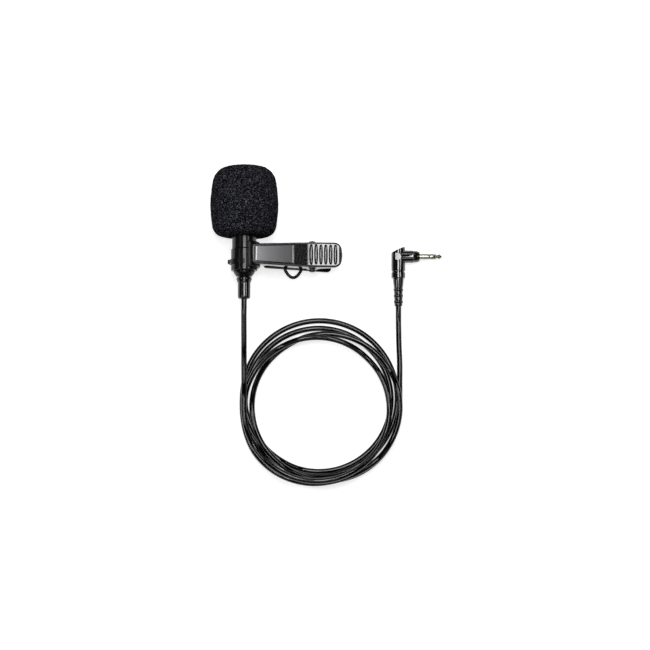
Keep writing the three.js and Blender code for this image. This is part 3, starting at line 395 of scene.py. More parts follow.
JACKET = Finish(
    "black_cable_jacket", "black_cable", (0.0012, 0.0012, 0.0014), 0.09,
    specular=0.4, grain=7.0, grain_depth=0.00015,
)
STEEL = BrushedFinish("bright_steel", "steel", (0.46, 0.46, 0.47), 0.28, 1.0, mottle=0.1)
SILVER = BrushedFinish("capsule_can", "capsule_silver", (0.6, 0.61, 0.62), 0.32, 1.0, mottle=0.08)
BOARD = Finish("green_board", "board_green", (0.025, 0.09, 0.04), 0.45, coat=0.3)
GOLD = BrushedFinish(
    "pale_gold_plate", "pale_gold", (0.34, 0.335, 0.27), 0.2, 1.0,
    mottle=0.06, grain_depth=0.0006, stretch=(6.0, 0.6, 0.6),
)
INSULATOR = Finish("dark_insulator", "insulator", (0.012, 0.013, 0.009), 0.42)
MESH = Finish("woven_mesh", "mesh_grey", (0.05, 0.05, 0.052), 0.5, 0.6, grain=4.0, grain_depth=0.1)


# ---- flat shapes

STRAIGHT = 0.995  # a corner whose sides' cosine is past this isn't rounded
SHARE = 0.42  # most of a side that one corner's rounding takes


def curve_points(start: Point2, bend: Point2, end: Point2, steps: int = 8) -> Profile:
    """Return points of a quadratic curve, without its start.

    Args:
        start: where the curve begins.
        bend: its control point.
        end: where it ends.
        steps: how many points to return.

    Returns:
        The points, the end included.
    """
    points = []
    for t in (index / steps for index in range(1, steps + 1)):
        parts = (((1 - t) ** 2, start), (2 * (1 - t) * t, bend), (t * t, end))
        points.append(tuple(sum(share * point[i] for share, point in parts) for i in (0, 1)))
    return points


def softened(points: Profile, radius: float, steps: int = 3, closed: bool = True) -> Profile:
    """Round the corners of an outline or a turning profile.

    Args:
        points: the corners.
        radius: how far along each side the rounding reaches.
        steps: points per rounded corner.
        closed: whether the last point joins the first.

    Returns:
        The rounded outline.
    """
    made: Profile = []
    for index, corner in enumerate(points):
        before = Vector(points[index - 1]) - Vector(corner)
        after = Vector(points[(index + 1) % len(points)]) - Vector(corner)
        end = not closed and index in (0, len(points) - 1)
        if end or abs(before.normalized().dot(after.normalized())) > STRAIGHT:
            made.append(corner)
            continue
        reach = min(radius, SHARE * before.length, SHARE * after.length)
        first, last = (tuple(Vector(corner) + way.normalized() * reach) for way in (before, after))
        made += [first, *curve_points(first, corner, last, steps)]
    return made


def band(inner: float, outer: float, low: float, high: float) -> Profile:
    """Return a plain tube's turning profile, or a rod's where the inner radius is 0."""
    return [(inner, low), (outer, low), (outer, high), (inner, high)]


# ---- solids

EXACT = 1e-7  # metres between points of a built solid that are one
SAME_POINT = 2e-6  # the same for a solid that is cleaned
SHARP = 38.0  # degrees past which shading breaks at an edge
CAP_EDGE = 60.0  # the same at the rim of a tube's end


def link(name: str, mesh: bpy.types.Mesh) -> Thing:
    """Put a mesh in the scene as an object at the origin."""
    made = bpy.data.objects.new(name, mesh)
    bpy.context.scene.collection.objects.link(made)
    return made


def mesh_object(
    name: str, points: Sequence[Sequence[float]], faces: Sequence[Sequence[int]], place: Matrix
) -> Thing:
    """Make a closed mesh from points in millimetres and faces.

    Args:
        name: the object's name.
        points: corners, in the sub-assembly's own frame.
        faces: corner numbers of each face.
        place: the sub-assembly's frame, in millimetres.

    Returns:
        The object, its faces pointing outwards.
    """
    mesh = bpy.data.meshes.new(name)
    mesh.from_pydata(points, [], faces)
    mesh.transform(MILLIMETRES @ place)
    work = bmesh.new()
    work.from_mesh(mesh)
    bmesh.ops.remove_doubles(work, verts=work.verts, dist=EXACT)
    bmesh.ops.recalc_face_normals(work, faces=work.faces)
    work.to_mesh(mesh)
    work.free()
    return link(name, mesh)


def point_on(axis: Axis, u: float, v: float, along: float) -> list[float]:
    """Return a point from two coordinates across an axis and one along it."""
    point = [u, v]
    point.insert(axis.value, along)
    return point


def revolved(name: str, profile: Profile, axis: Axis, place: Matrix, steps: int = 96) -> Thing:
    """Turn a profile about an axis.

    Args:
        name: the object's name.
        profile: (radius, distance along the axis), ends on the axis or a closed loop.
        axis: the axis it turns about.
        place: the sub-assembly's frame.
        steps: facets round a turn.

    Returns:
        The turned solid.
    """
    loop = profile[0][0] > 0 or profile[-1][0] > 0
    points: list[list[float]] = []
    rings: list[range] = []
    for radius, along in profile:
        rings.append(range(len(points), len(points) + (steps if radius > 0 else 1)))
        for angle in (TURN * index / steps for index in range(len(rings[-1]))):
            points.append(point_on(axis, radius * math.cos(angle), radius * math.sin(angle), along))
    faces = []
    for low, high in zip(rings, rings[1:] + (rings[:1] if loop else [])):
        for here in range(steps):
            after = (here + 1) % steps
            corners = ((low, here), (low, after), (high, after), (high, here))
            faces.append(list(dict.fromkeys(ring[index % len(ring)] for ring, index in corners)))
    return mesh_object(name, points, [face for face in faces if len(face) > 2], place)


def turned(
    name: str, line: Profile, axis: Axis, place: Matrix, soft: float, arc: int = 3, steps: int = 96
) -> Thing:
    """Turn a profile with its corners rounded, and smooth the solid.

    Args:
        name: the object's name.
        line: the profile, open where it starts on the axis.
        axis: the axis it turns about.
        place: the sub-assembly's frame.
        soft: how far along each side the rounding reaches.
        arc: points per rounded corner.
        steps: facets round a turn.

    Returns:
        The turned solid.
    """
    rounded = softened(line, soft, arc, closed=line[0][0] > 0)
    return edged(revolved(name, rounded, axis, place, steps))


def drawn(
    name: str, outline: Profile, low: float, high: float, axis: Axis, place: Matrix
) -> Thing:
    """Draw an outline out into a prism.

    Args:
        name: the object's name.
        outline: (x, z) corners for a prism along Y, or (x, y) along Z.
        low: where the prism starts.
        high: where it ends.
        axis: the direction it is drawn in, Y or Z.
        place: the sub-assembly's frame.

    Returns:
        The prism.
    """
    count = len(outline)
    points = [point_on(axis, u, v, level) for level in (low, high) for u, v in outline]
    faces = [list(range(count)), list(range(count, 2 * count))]
    for index in range(count):
        after = (index + 1) % count
        faces.append([index, after, count + after, count + index])
    return mesh_object(name, points, faces, place)


def baked(thing: Thing) -> Thing:
    """Turn an object's modifiers into a plain mesh and remove them."""
    graph = bpy.context.evaluated_depsgraph_get()
    mesh = bpy.data.meshes.new_from_object(thing.evaluated_get(graph))
    thing.modifiers.clear()
    thing.data = mesh
    return thing


def carved(target: Thing, tool: Thing, cut: Cut = Cut.REMOVE) -> Thing:
    """Change one solid by another, and use the other up.

    Args:
        target: the solid that stays.
        tool: the solid that is used up.
        cut: how the target changes.

    Returns:
        The changed target.
    """
    modifier = target.modifiers.new("cut", "BOOLEAN")
    modifier.operation = cut.value
    modifier.solver = "MANIFOLD"
    modifier.object = tool
    baked(target)
    bpy.data.objects.remove(tool)
    return target


def cleaned(thing: Thing, angle: float = 1.5) -> Thing:
    """Merge doubles and flat neighbours, so that a bevel runs evenly.

    Args:
        thing: the solid.
        angle: the most that flat neighbours turn from each other, in degrees.

    Returns:
        The same object.
    """
    work = bmesh.new()
    work.from_mesh(thing.data)
    bmesh.ops.remove_doubles(work, verts=work.verts, dist=SAME_POINT)
    bmesh.ops.dissolve_degenerate(work, edges=work.edges, dist=SAME_POINT)
    limit = math.radians(angle)
    bmesh.ops.dissolve_limit(work, angle_limit=limit, verts=work.verts, edges=work.edges)
    bmesh.ops.recalc_face_normals(work, faces=work.faces)
    work.to_mesh(thing.data)
    work.free()
    return thing


def edged(thing: Thing, width: float = 0.0, corner: float = 30.0, segments: int = 3) -> Thing:
    """Round a solid's edges and smooth its shading.

    Args:
        thing: the solid.
        width: the rounding's width in millimetres, 0 for none.
        corner: the least angle, in degrees, that counts as an edge.
        segments: steps across a rounded edge.

    Returns:
        The same object with a plain mesh.
    """
    if width:
        bevel = thing.modifiers.new("edge", "BEVEL")
        bevel.width = width * MM
        bevel.segments = segments
        bevel.limit_method = "ANGLE"
        bevel.angle_limit = math.radians(corner)
        bevel.miter_outer = "MITER_ARC"
        baked(thing)
    thing.data.shade_smooth()
    thing.data.set_sharp_from_angle(angle=math.radians(SHARP))
    weight = thing.modifiers.new("weight", "WEIGHTED_NORMAL")
    weight.keep_sharp = True
    return baked(thing)


def copied(node: str, name: str) -> Thing:
    """Copy a frame node's mesh into an object of its own, with doubles merged."""
    made = link(name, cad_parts[node].data.copy())
    made.data.materials.clear()
    return cleaned(made)


# ---- repeats

FOAM_SEED = 4.0
FOAM_LUMPS = 160.0  # uneven places to a metre


class Tree(Graph):
    """A Geometry Nodes tree with named inputs for its sizes."""

    KINDS = {float: "Float", int: "Int", tuple: "Vector", Thing: "Object"}

    def __init__(self, name: str, **inputs: Any) -> None:
        """Start a tree whose inputs take their kinds and values from the arguments."""
        super().__init__(bpy.data.node_groups.new(name, "GeometryNodeTree"))
        self.inputs = inputs
        face = self.tree.interface
        for way in ("INPUT", "OUTPUT"):
            face.new_socket("Geometry", in_out=way, socket_type="NodeSocketGeometry")
        for label, value in inputs.items():
            kind = "NodeSocket" + self.KINDS[type(value)]
            face.new_socket(label, in_out="INPUT", socket_type=kind)
        self.start = self.add("NodeGroupInput", output="Geometry")

    def run(self, thing: Thing, shape: Wire, finish: Finish) -> Thing:
        """End the tree, run it on an object and keep the plain result.

        Args:
            thing: the object.
            shape: the tree's last geometry, whose instances are realised.
            finish: the result's finish.

        Returns:
            The same object with its new mesh.
        """
        real = self.add("GeometryNodeRealizeInstances", {}, {"Geometry": shape})
        sockets = {"Geometry": real, "Material": finish.material()}
        dressed = self.add("GeometryNodeSetMaterial", {}, sockets)
        self.add("NodeGroupOutput", {}, {"Geometry": dressed})
        modifier = thing.modifiers.new("repeat", "NODES")
        modifier.node_group = self.tree
        for item in self.tree.interface.items_tree:
            if item.in_out == "INPUT" and item.name in self.inputs:
                modifier[item.identifier] = self.inputs[item.name]
        return baked(thing)


def tube(name: str, path: Sequence[Vector], radius: float, sides: int, finish: Finish) -> Thing:
    """Sweep a round section along a path.

    Args:
        name: the object's name.
        path: points in metres.
        radius: in millimetres.
        sides: facets of the section.
        finish: the tube's finish.

    Returns:
        The closed tube.
    """
    mesh = bpy.data.meshes.new(name)
    mesh.from_pydata([tuple(point) for point in path], [(i, i + 1) for i in range(len(path) - 1)], [])
    tree = Tree(name + "_sweep", Radius=radius * MM, Sides=sides)
    sizes = {"Resolution": tree.start.sibling("Sides"), "Radius": tree.start.sibling("Radius")}
    sockets = {
        "Curve": tree.add("GeometryNodeMeshToCurve", {}, {"Mesh": tree.start}),
        "Profile Curve": tree.add("GeometryNodeCurvePrimitiveCircle", {"mode": "RADIUS"}, sizes),
        "Fill Caps": True,
    }
    swept = tree.add("GeometryNodeCurveToMesh", {}, sockets)
    smooth = tree.add("GeometryNodeSetShadeSmooth", {}, {"Geometry": swept})
    thing = tree.run(link(name, mesh), smooth, finish)
    thing.data.set_sharp_from_angle(angle=math.radians(CAP_EDGE))
    return thing


def ringed(name: str, pattern: Thing, count: int, place: Matrix, finish: Finish) -> Thing:
    """Repeat a solid in a ring about the Y axis of a frame.

    Args:
        name: the ring's name.
        pattern: the solid in its first place, used up.
        count: how many copies.
        place: the frame whose Y axis is the ring's.
        finish: the ring's finish.

    Returns:
        The ring as one object.
    """
    centre = tuple(place.translation * MM)
    tree = Tree(name + "_ring", Pattern=pattern, Count=count, Centre=centre)
    number = tree.start.sibling("Count")
    sockets = {"Count": number, "Offset": (0.0, 0.0, 0.0)}
    points = tree.add("GeometryNodeMeshLine", {"mode": "OFFSET"}, sockets)
    source = {"Object": tree.start.sibling("Pattern")}
    shape = tree.add("GeometryNodeObjectInfo", {}, source, "Geometry")
    angle = tree.add("GeometryNodeInputIndex") / number * TURN
    sockets = {
        "Instances": tree.add("GeometryNodeInstanceOnPoints", {}, {"Points": points, "Instance": shape}),
        "Rotation": tree.add("ShaderNodeCombineXYZ", {}, {"Y": angle}),
        "Pivot Point": tree.start.sibling("Centre"),
        "Local Space": False,
    }
    ring = tree.add("GeometryNodeRotateInstances", {}, sockets)
    thing = tree.run(link(name, bpy.data.meshes.new(name)), ring, finish)
    bpy.data.objects.remove(pattern)
    return thing


def pitted(thing: Thing, size: float, depth: float, finish: Finish) -> Thing:
    """Sink the cells of open foam into a surface.

    Args:
        thing: a fine mesh with a "depth" value from 0 to 1 on its points.
        size: the cells' width in millimetres.
        depth: how deep they go in millimetres.
        finish: the foam's finish.

    Returns:
        The same object, with its cells.
    """
    tree = Tree(thing.name + "_cells", Scale=1.0 / (size * MM), Depth=depth * MM, Seed=FOAM_SEED)
    scale, seed, deep = (tree.start.sibling(label) for label in ("Scale", "Seed", "Depth"))
    where = tree.add("GeometryNodeInputPosition")
    normal = tree.add("GeometryNodeInputNormal")
    mask = tree.add("GeometryNodeInputNamedAttribute", {"data_type": "FLOAT"}, {"Name": "depth"})
    settings = {"voronoi_dimensions": "4D", "feature": "F1"}
    sockets = {"Vector": where, "Scale": scale, "W": seed}
    pits = tree.add("ShaderNodeTexVoronoi", settings, sockets, "Distance")
    lumps = tree.noise(where, FOAM_LUMPS)
    shift = ((pits - 0.45) + (lumps - 0.5) * 1.1) * mask * deep
    offset = tree.add("ShaderNodeVectorMath", {"operation": "SCALE"}, {0: normal, "Scale": shift})
    moved = tree.add("GeometryNodeSetPosition", {}, {"Geometry": tree.start, "Offset": offset})
    smooth = tree.add("GeometryNodeSetShadeSmooth", {}, {"Geometry": moved})
    return tree.run(thing, smooth, finish)


# ---- places


@dataclass
class Places:
    """Frames of the sub-assemblies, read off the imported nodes, in millimetres."""

    collar_rear: float = 7.1
    plug_body_radius: float = 3.1

    def _centre(self, node: str) -> Vector:
        """Return the middle of a node's box in millimetres."""
        low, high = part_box(node)
        return (Vector(low) + Vector(high)) / 2 / MM

    @property
    def microphone(self) -> Matrix:
        """Frame of the microphone: its axis along Y, 0 in the clip's middle plane."""
        middle = self._centre("microphone_housing")
        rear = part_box("microphone_housing")[0][1] / MM
        return Matrix.Translation((middle.x, rear + self.collar_rear, middle.z))

    @property
    def clip(self) -> Matrix:
        """Frame of the clip: the microphone's, tilted so that X meets the pin."""
        origin = self.microphone.translation
        pin = self._centre("hinge_pin") - origin
        tilt = Matrix.Rotation(math.atan2(-pin.z, pin.x), 4, "Y")
        return Matrix.Translation(origin) @ tilt

    @property
    def plug(self) -> Matrix:
        """Frame of the plug: the jack along X, the cable leaving along -Y."""
        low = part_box("plug_housing")[0]
        jack = self._centre("jack_sleeve")
        return Matrix.Translation((low[0] / MM + self.plug_body_radius, jack.y, jack.z))


def shifted(place: Matrix, *offset: float) -> Matrix:
    """Return a frame moved along its own axes."""
    return place @ Matrix.Translation(offset)


def paint(mesh: bpy.types.Mesh, finish: Finish) -> None:
    """Give a mesh one finish."""
    mesh.materials.clear()
    mesh.materials.append(finish.material())


@dataclass
class Assembly:
    """A sub-assembly, built in the frames of its places and moving as one body."""

    body: ClassVar[Body] = Body.MICROPHONE
    places: Places

    def settle(self, thing: Thing, finish: Finish, *nodes: str) -> Thing:
        """Dress a finished piece, tie it to the body and report it.

        Args:
            thing: the finished piece.
            finish: what it is made of.
            nodes: the frame's nodes that it stands for.

        Returns:
            The piece.
        """
        paint(thing.data, finish)
        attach(thing, self.body.value)
        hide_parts(*nodes)
        LOG.info("%s: %s, %d faces", type(self).__name__, thing.name, len(thing.data.polygons))
        return thing


# ---- cable


@dataclass(frozen=True)
class Lap:
    """One turn of the coil: its circle in the layout and where it ends, in turns."""

    x: float
    y: float
    radius: float
    ends: float


@dataclass
class Cable(Assembly):
    """The cable from the sleeve to the plug: its run, its coil and its run to the plug."""

    diameter: float = 2.5
    gap: float = 0.65
    steepest: float = 0.3
    rest: float = 0.12
    blend: float = 0.16
    steps_per_turn: int = 24
    samples: int = 5
    least_apart: int = 4
    rounds: int = 30
    clearance: float = 0.3
    tuck: float = 1.8
    sides: int = 18
    spacing: float = 1.1
    microphone_at: Point3 = (-35.7, 29.4, 15.05)
    plug_at: Point3 = (33.1, 30.5, 3.1)
    sleeve_end: float = -19.6
    relief_end: float = -22.3
    laps: tuple[Lap, ...] = (
        Lap(-3.47, -38.65, 32.29, 1.0),
        Lap(-2.54, -33.89, 32.21, 2.0),
        Lap(-2.22, -32.93, 34.69, 3.0),
        Lap(-4.11, -39.45, 32.39, 3.31),
        Lap(0.68, -37.36, 32.84, 4.5),
    )
    laying: tuple[tuple[float, int], ...] = (
        (0.0, 5), (0.5, 4), (0.97, 1), (1.97, 0), (2.97, -1), (3.13, 3), (4.0, 2)
    )

    def _circle(self, at: float) -> np.ndarray:
        """Return the coil's circle at a point of the winding.

        Args:
            at: the point, in turns from the coil's start.

        Returns:
            The circle's x, y and radius, eased from each turn's to the next's.
        """
        circles = [np.array([lap.x, lap.y, lap.radius]) for lap in self.laps]
        circle = circles[0]
        for before, after in zip(self.laps, circles[1:]):
            share = min(max((at - before.ends) / self.blend + 0.5, 0.0), 1.0)
            circle = circle + (after - circle) * (share * share * (3 - 2 * share))
        return circle

    def _level(self, at: float) -> int:
        """Return the laying level of a point of the winding."""
        return [level for start, level in self.laying if at >= start][-1]

    def _plan(self) -> tuple[np.ndarray, np.ndarray]:
        """Return the coil's points in plan and their laying levels."""
        total = self.laps[-1].ends
        steps = round(total * self.steps_per_turn)
        points, levels = [], []
        for at in (index / steps * total for index in range(steps + 1)):
            x, y, radius = self._circle(at)
            angle = math.pi + TURN * at
            points.append((x + radius * math.cos(angle), y + radius * math.sin(angle)))
            levels.append(self._level(at))
        first, last = ((x, y + self.diameter) for x, y in (points[0], points[-1]))
        return np.array([first, *points, last]), np.array([levels[0], *levels, levels[-1]])

    def _settled(self) -> list[Vector]:
        """Return the coil's points, each lifted clear of what was laid before it."""
        plan, levels = self._plan()
        need = self.diameter + self.gap
        segment = np.repeat(np.arange(len(plan) - 1), self.samples)
        share = np.tile(np.arange(self.samples) / self.samples, len(plan) - 1)
        marks = plan[segment] + (plan[segment + 1] - plan[segment]) * share[:, None]
        apart = np.linalg.norm(marks[:, None] - marks[None], axis=2)
        over = levels[segment][:, None] > levels[segment][None]
        far_along = np.abs(segment[:, None] - segment[None]) >= self.least_apart
        upper, lower = np.nonzero((apart < need) & over & far_along)
        rise = np.sqrt(need * need - apart[upper, lower] ** 2)
        fall = self.steepest * np.linalg.norm(np.diff(plan, axis=0), axis=1)
        z = np.full(len(plan), self.diameter / 2 + self.rest)
        for _ in range(self.rounds):
            moved = False
            for top, bottom, lift in zip(upper, lower, rise):
                i, j = segment[top], segment[bottom]
                wanted = z[j] + (z[j + 1] - z[j]) * share[bottom] + lift
                moved |= bool(wanted > z[i] + (z[i + 1] - z[i]) * share[top] + 1e-3)
                z[i : i + 2] = np.maximum(z[i : i + 2], wanted)
            for i in range(1, len(z)):
                z[i] = max(z[i], z[i - 1] - fall[i - 1])
            for i in range(len(z) - 2, -1, -1):
                z[i] = max(z[i], z[i + 1] - fall[i])
            if not moved:
                break
        z[0], z[-1] = z[1], z[-2]
        return [Vector((x, y, height)) for (x, y), height in zip(plan, z)]

    def route(self) -> list[Vector]:
        """Return the whole cable's chosen points, in the layout's millimetres."""
        coil = self._settled()
        start, end = coil[0], coil[-1]
        mouth = Vector(self.microphone_at) + Vector((0, self.sleeve_end - self.clearance, 0))
        relief = Vector(self.plug_at) + Vector((0, self.relief_end - self.clearance, 0))
        first = [
            mouth,
            mouth + Vector((0, -3, 0)),
            mouth + Vector((-0.05, -6, -0.1)),
            mouth.lerp(start, 0.4) + Vector((0, 0, 0.2)),
            mouth.lerp(start, 0.62) + Vector((0, 0, -0.3)),
            start + Vector((0.1, 9, 1)),
            start + Vector((0, 3 + self.clearance, 0)),
        ]
        last = [
            end + Vector((0, 3 + self.clearance, 0)),
            end + Vector((0, 9, 0.1)),
            end + Vector((0.05, 17, -0.2)),
            Vector((*end.lerp(relief, 0.6).xy, 3.4)),
            relief + Vector((0, -6, -0.3)),
            relief + Vector((0, -3, 0)),
            relief,
        ]
        return [*first, *coil, *last]

    @staticmethod
    def smooth(points: Sequence[Vector], spacing: float) -> list[Vector]:
        """Return a smooth line through the points.

        Args:
            points: the chosen points.
            spacing: about how far apart the returned points lie.

        Returns:
            Points of a centripetal curve, ends included.
        """
        ends = [2 * points[0] - points[1], *points, 2 * points[-1] - points[-2]]
        line: list[Vector] = []
        for four in zip(ends, ends[1:], ends[2:], ends[3:]):
            knots = [0.0]
            for a, b in zip(four, four[1:]):
                knots.append(knots[-1] + max((b - a).length, 1e-4) ** 0.5)
            t0, t1, t2, t3 = knots
            steps = max(1, round((four[2] - four[1]).length / spacing))
            for t in (t1 + (t2 - t1) * index / steps for index in range(steps)):
                made = four
                for spans in (((t0, t1), (t1, t2), (t2, t3)), ((t0, t2), (t1, t3)), ((t1, t2),)):
                    made = [
                        a * ((high - t) / (high - low)) + b * ((t - low) / (high - low))
                        for a, b, (low, high) in zip(made, made[1:], spans)
                    ]
                line += made
        return [*line, points[-1].copy()]

    def build(self, riding: Sequence[Thing]) -> None:
        """Args:
            riding: the pieces on its far end; not used.
        """
        shift = self.places.microphone.translation - Vector(self.microphone_at)
        path = [(point + shift) * MM for point in self.smooth(self.route(), self.spacing)]
        length = sum((b - a).length for a, b in zip(path, path[1:]))
        inward = Vector((0.0, self.tuck * MM, 0.0))
        tucked = [path[0] + inward, *path, path[-1] + inward]
        thing = tube("cable", tucked, self.diameter / 2, self.sides, JACKET)
        self.settle(thing, JACKET, "cable_from_microphone", "cable_coil", "cable_to_plug")
        LOG.info("cable: %.0f mm long", length / MM)


# ---- windscreen


@dataclass
class Windscreen(Assembly):
    """The foam windscreen and its blind bore."""

    body: ClassVar[Body] = Body.WINDSCREEN
    radius: float = 15.05
    length: float = 31.2
    front_corner: float = 8.7
    rear_corner: float = 5.7
    bulge: float = 0.7
    bore: float = 5.65
    bore_depth: float = 21.0
    standoff: float = 8.6
    cell: float = 1.0
    cell_depth: float = 0.34
    steps: int = 336
    rows: float = 0.27

    def _outside(self) -> Profile:
        """Return the outside's profile from the bore's rim to the front's middle."""
        rear, front = self.standoff, self.standoff + self.length
        side = self.radius - self.bulge
        line: Profile = [(self.bore, rear), (side - self.rear_corner, rear)]
        line += curve_points(line[-1], (side - 0.2, rear), (side, rear + self.rear_corner), 16)
        shoulder = (side, front - self.front_corner)
        middle = (rear + self.rear_corner + front - self.front_corner) / 2
        line += curve_points(line[-1], (self.radius + self.bulge, middle), shoulder, 24)
        line += curve_points(line[-1], (side - 0.8, front), (side - self.front_corner, front), 24)
        return [*line, (0.0, front)]

    def _even(self, line: Profile) -> Profile:
        """Return points at even spacing along a profile.

        Args:
            line: the profile.

        Returns:
            The same line with its rows of points.
        """
        flat = np.array(line)
        far = np.concatenate([[0.0], np.cumsum(np.linalg.norm(np.diff(flat, axis=0), axis=1))])
        marks = np.linspace(0.0, far[-1], int(far[-1] / self.rows))
        u, v = (np.interp(marks, far, flat[:, i]) for i in (0, 1))
        return [(float(a), float(b)) for a, b in zip(u, v)]

    def _cell_share(self, point: Vector) -> float:
        """Return how deep the cells are at a point: none in the bore, less near the axis.

        Args:
            point: a place in the microphone's frame, in metres.

        Returns:
            A share from 0 to 1.
        """
        radius = math.hypot(point.x, point.z) / MM
        floor = self.standoff + self.bore_depth
        if radius < self.bore + 0.3 and point.y / MM < floor + 0.1:
            return 0.0
        return min(1.0, max(0.25, radius / 2.0))

    def build(self) -> None:
        """Make the foam with its cells and tie it to its body."""
        outside = self._even(self._outside())
        floor = self.standoff + self.bore_depth
        profile = [(0.0, floor), (self.bore, floor), *outside[:-1], (0.0, outside[-1][1])]
        place = self.places.microphone
        thing = revolved("windscreen_foam", profile, Axis.Y, place, self.steps)
        origin = place.translation * MM
        shares = [self._cell_share(vertex.co - origin) for vertex in thing.data.vertices]
        mask = thing.data.attributes.new("depth", "FLOAT", "POINT")
        mask.data.foreach_set("value", shares)
        pitted(thing, self.cell, self.cell_depth, FOAM)
        self.settle(thing, FOAM, "foam_windscreen")


# ---- microphone


@dataclass
class MicrophoneBody(Assembly):
    """The turned metal housing, its rear cap, the cable sleeve and the capsule's parts."""

    barrel_radius: float = 5.45
    collar_radius: float = 5.9
    bore_radius: float = 4.65
    collar_rear: float = -7.1
    collar_front: float = 2.8
    barrel_front: float = 25.7
    skirt: float = 3.0
    step_radius: float = 4.9
    mouth: float = 24.5
    cap_rear: float = -9.6
    cable_bore: float = 1.55
    sleeve_end: float = -19.6
    hole_radius: float = 0.65
    hole_circle: float = 2.6
    hole_count: int = 6

    def _housing(self) -> Thing:
        """Make the barrel and collar as one thin tube."""
        bore, barrel, collar = self.bore_radius, self.barrel_radius, self.collar_radius
        rear, front, mouth = self.collar_rear, self.collar_front, self.mouth
        step, seat, lip = self.step_radius, self.barrel_front - self.skirt, bore - 0.3
        line = [
            (bore, rear), (collar - 0.12, rear), (collar, rear + 0.3), (collar, front - 0.3),
            (collar - 0.3, front), (barrel, front), (barrel, seat), (step, seat),
            (step, mouth), (lip, mouth), (lip, mouth - 1.0), (bore, mouth - 1.4),
        ]
        return turned("housing_tube", line, Axis.Y, self.places.microphone, 0.16)

    def _grille(self) -> Thing:
        """Make the domed front cap with its ring of sound holes."""
        seat, front, wall = self.barrel_front - 0.9, self.barrel_front, self.barrel_radius
        rim, spigot = front - self.skirt + 0.3, 5.2
        line = [
            (0.0, seat), (spigot, seat), (spigot, rim), (wall, rim), (wall, front - 0.45),
            *curve_points((wall, front - 0.45), (wall - 0.1, front), (wall - 0.7, front + 0.12)),
            *curve_points((wall - 0.7, front + 0.12), (2.6, front + 1.0), (0.0, front + 1.1)),
        ]
        place = self.places.microphone
        cap = revolved("grille_dome", line, Axis.Y, place)
        hole = band(0.0, self.hole_radius, seat - 1, front + 2)
        first = revolved("grille_drill", hole, Axis.Y, shifted(place, self.hole_circle, 0, 0), 24)
        carved(cap, ringed("grille_drills", first, self.hole_count, place, ANODISED))
        carved(cap, revolved("grille_middle_drill", hole, Axis.Y, place, 24))
        return edged(cap, 0.08, 32.0, 2)

    def _rear_cap(self) -> Thing:
        """Make the cone that closes the housing."""
        face, inner, bore = self.collar_rear - 0.3, self.collar_rear + 3.0, self.cable_bore
        rear, end, cone, plug, spigot = self.cap_rear, self.cap_rear - 2.0, 4.75, 4.2, 2.25
        line = [
            (bore, end), (spigot, end), (spigot, rear), (3.6, rear), (3.75, rear + 0.35),
            (cone - 0.15, face - 0.75), (cone, face - 0.3), (cone, face), (plug, face),
            (plug, inner - 0.4), (plug - 0.4, inner), (bore, inner),
        ]
        return turned("rear_cone", line, Axis.Y, self.places.microphone, 0.14)

    def _sleeve(self) -> Thing:
        """Make the soft sleeve: flared rim, plain tube and rounded end."""
        front, end, bore = self.cap_rear - 0.3, self.sleeve_end, self.cable_bore
        socket, wall, flare = 2.55, 2.8, 3.45
        line = [
            (socket, front), (socket, front - 2.3), (bore, front - 2.3), (bore, end),
            (bore + 0.2, end), *curve_points((bore + 0.2, end), (wall, end), (wall, end + 1.15)),
            (wall, front - 2.6), (3.0, front - 2.1), (flare, front - 1.1), (flare, front - 0.6),
            (flare - 0.3, front),
        ]
        return turned("sleeve_rubber", line, Axis.Y, self.places.microphone, 0.35, 4)

    def build(self) -> None:
        """Make and dress every piece of the microphone's body."""
        self.settle(self._housing(), ANODISED, "microphone_housing")
        self.settle(self._grille(), ANODISED, "grille_cap")
        self.settle(self._rear_cap(), ANODISED, "rear_cap")
        self.settle(self._sleeve(), RUBBER, "cable_sleeve")
        for node, finish in (
            ("dust_mesh", MESH), ("capsule_boot", RUBBER), ("condenser_capsule", SILVER),
            ("circuit_board", BOARD), ("spacer_tube", INSULATOR), ("cable_stop", STEEL),
        ):
            paint(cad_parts[node].data, finish)
            LOG.info("frame node %s: %s", node, finish.name)


# ---- clip


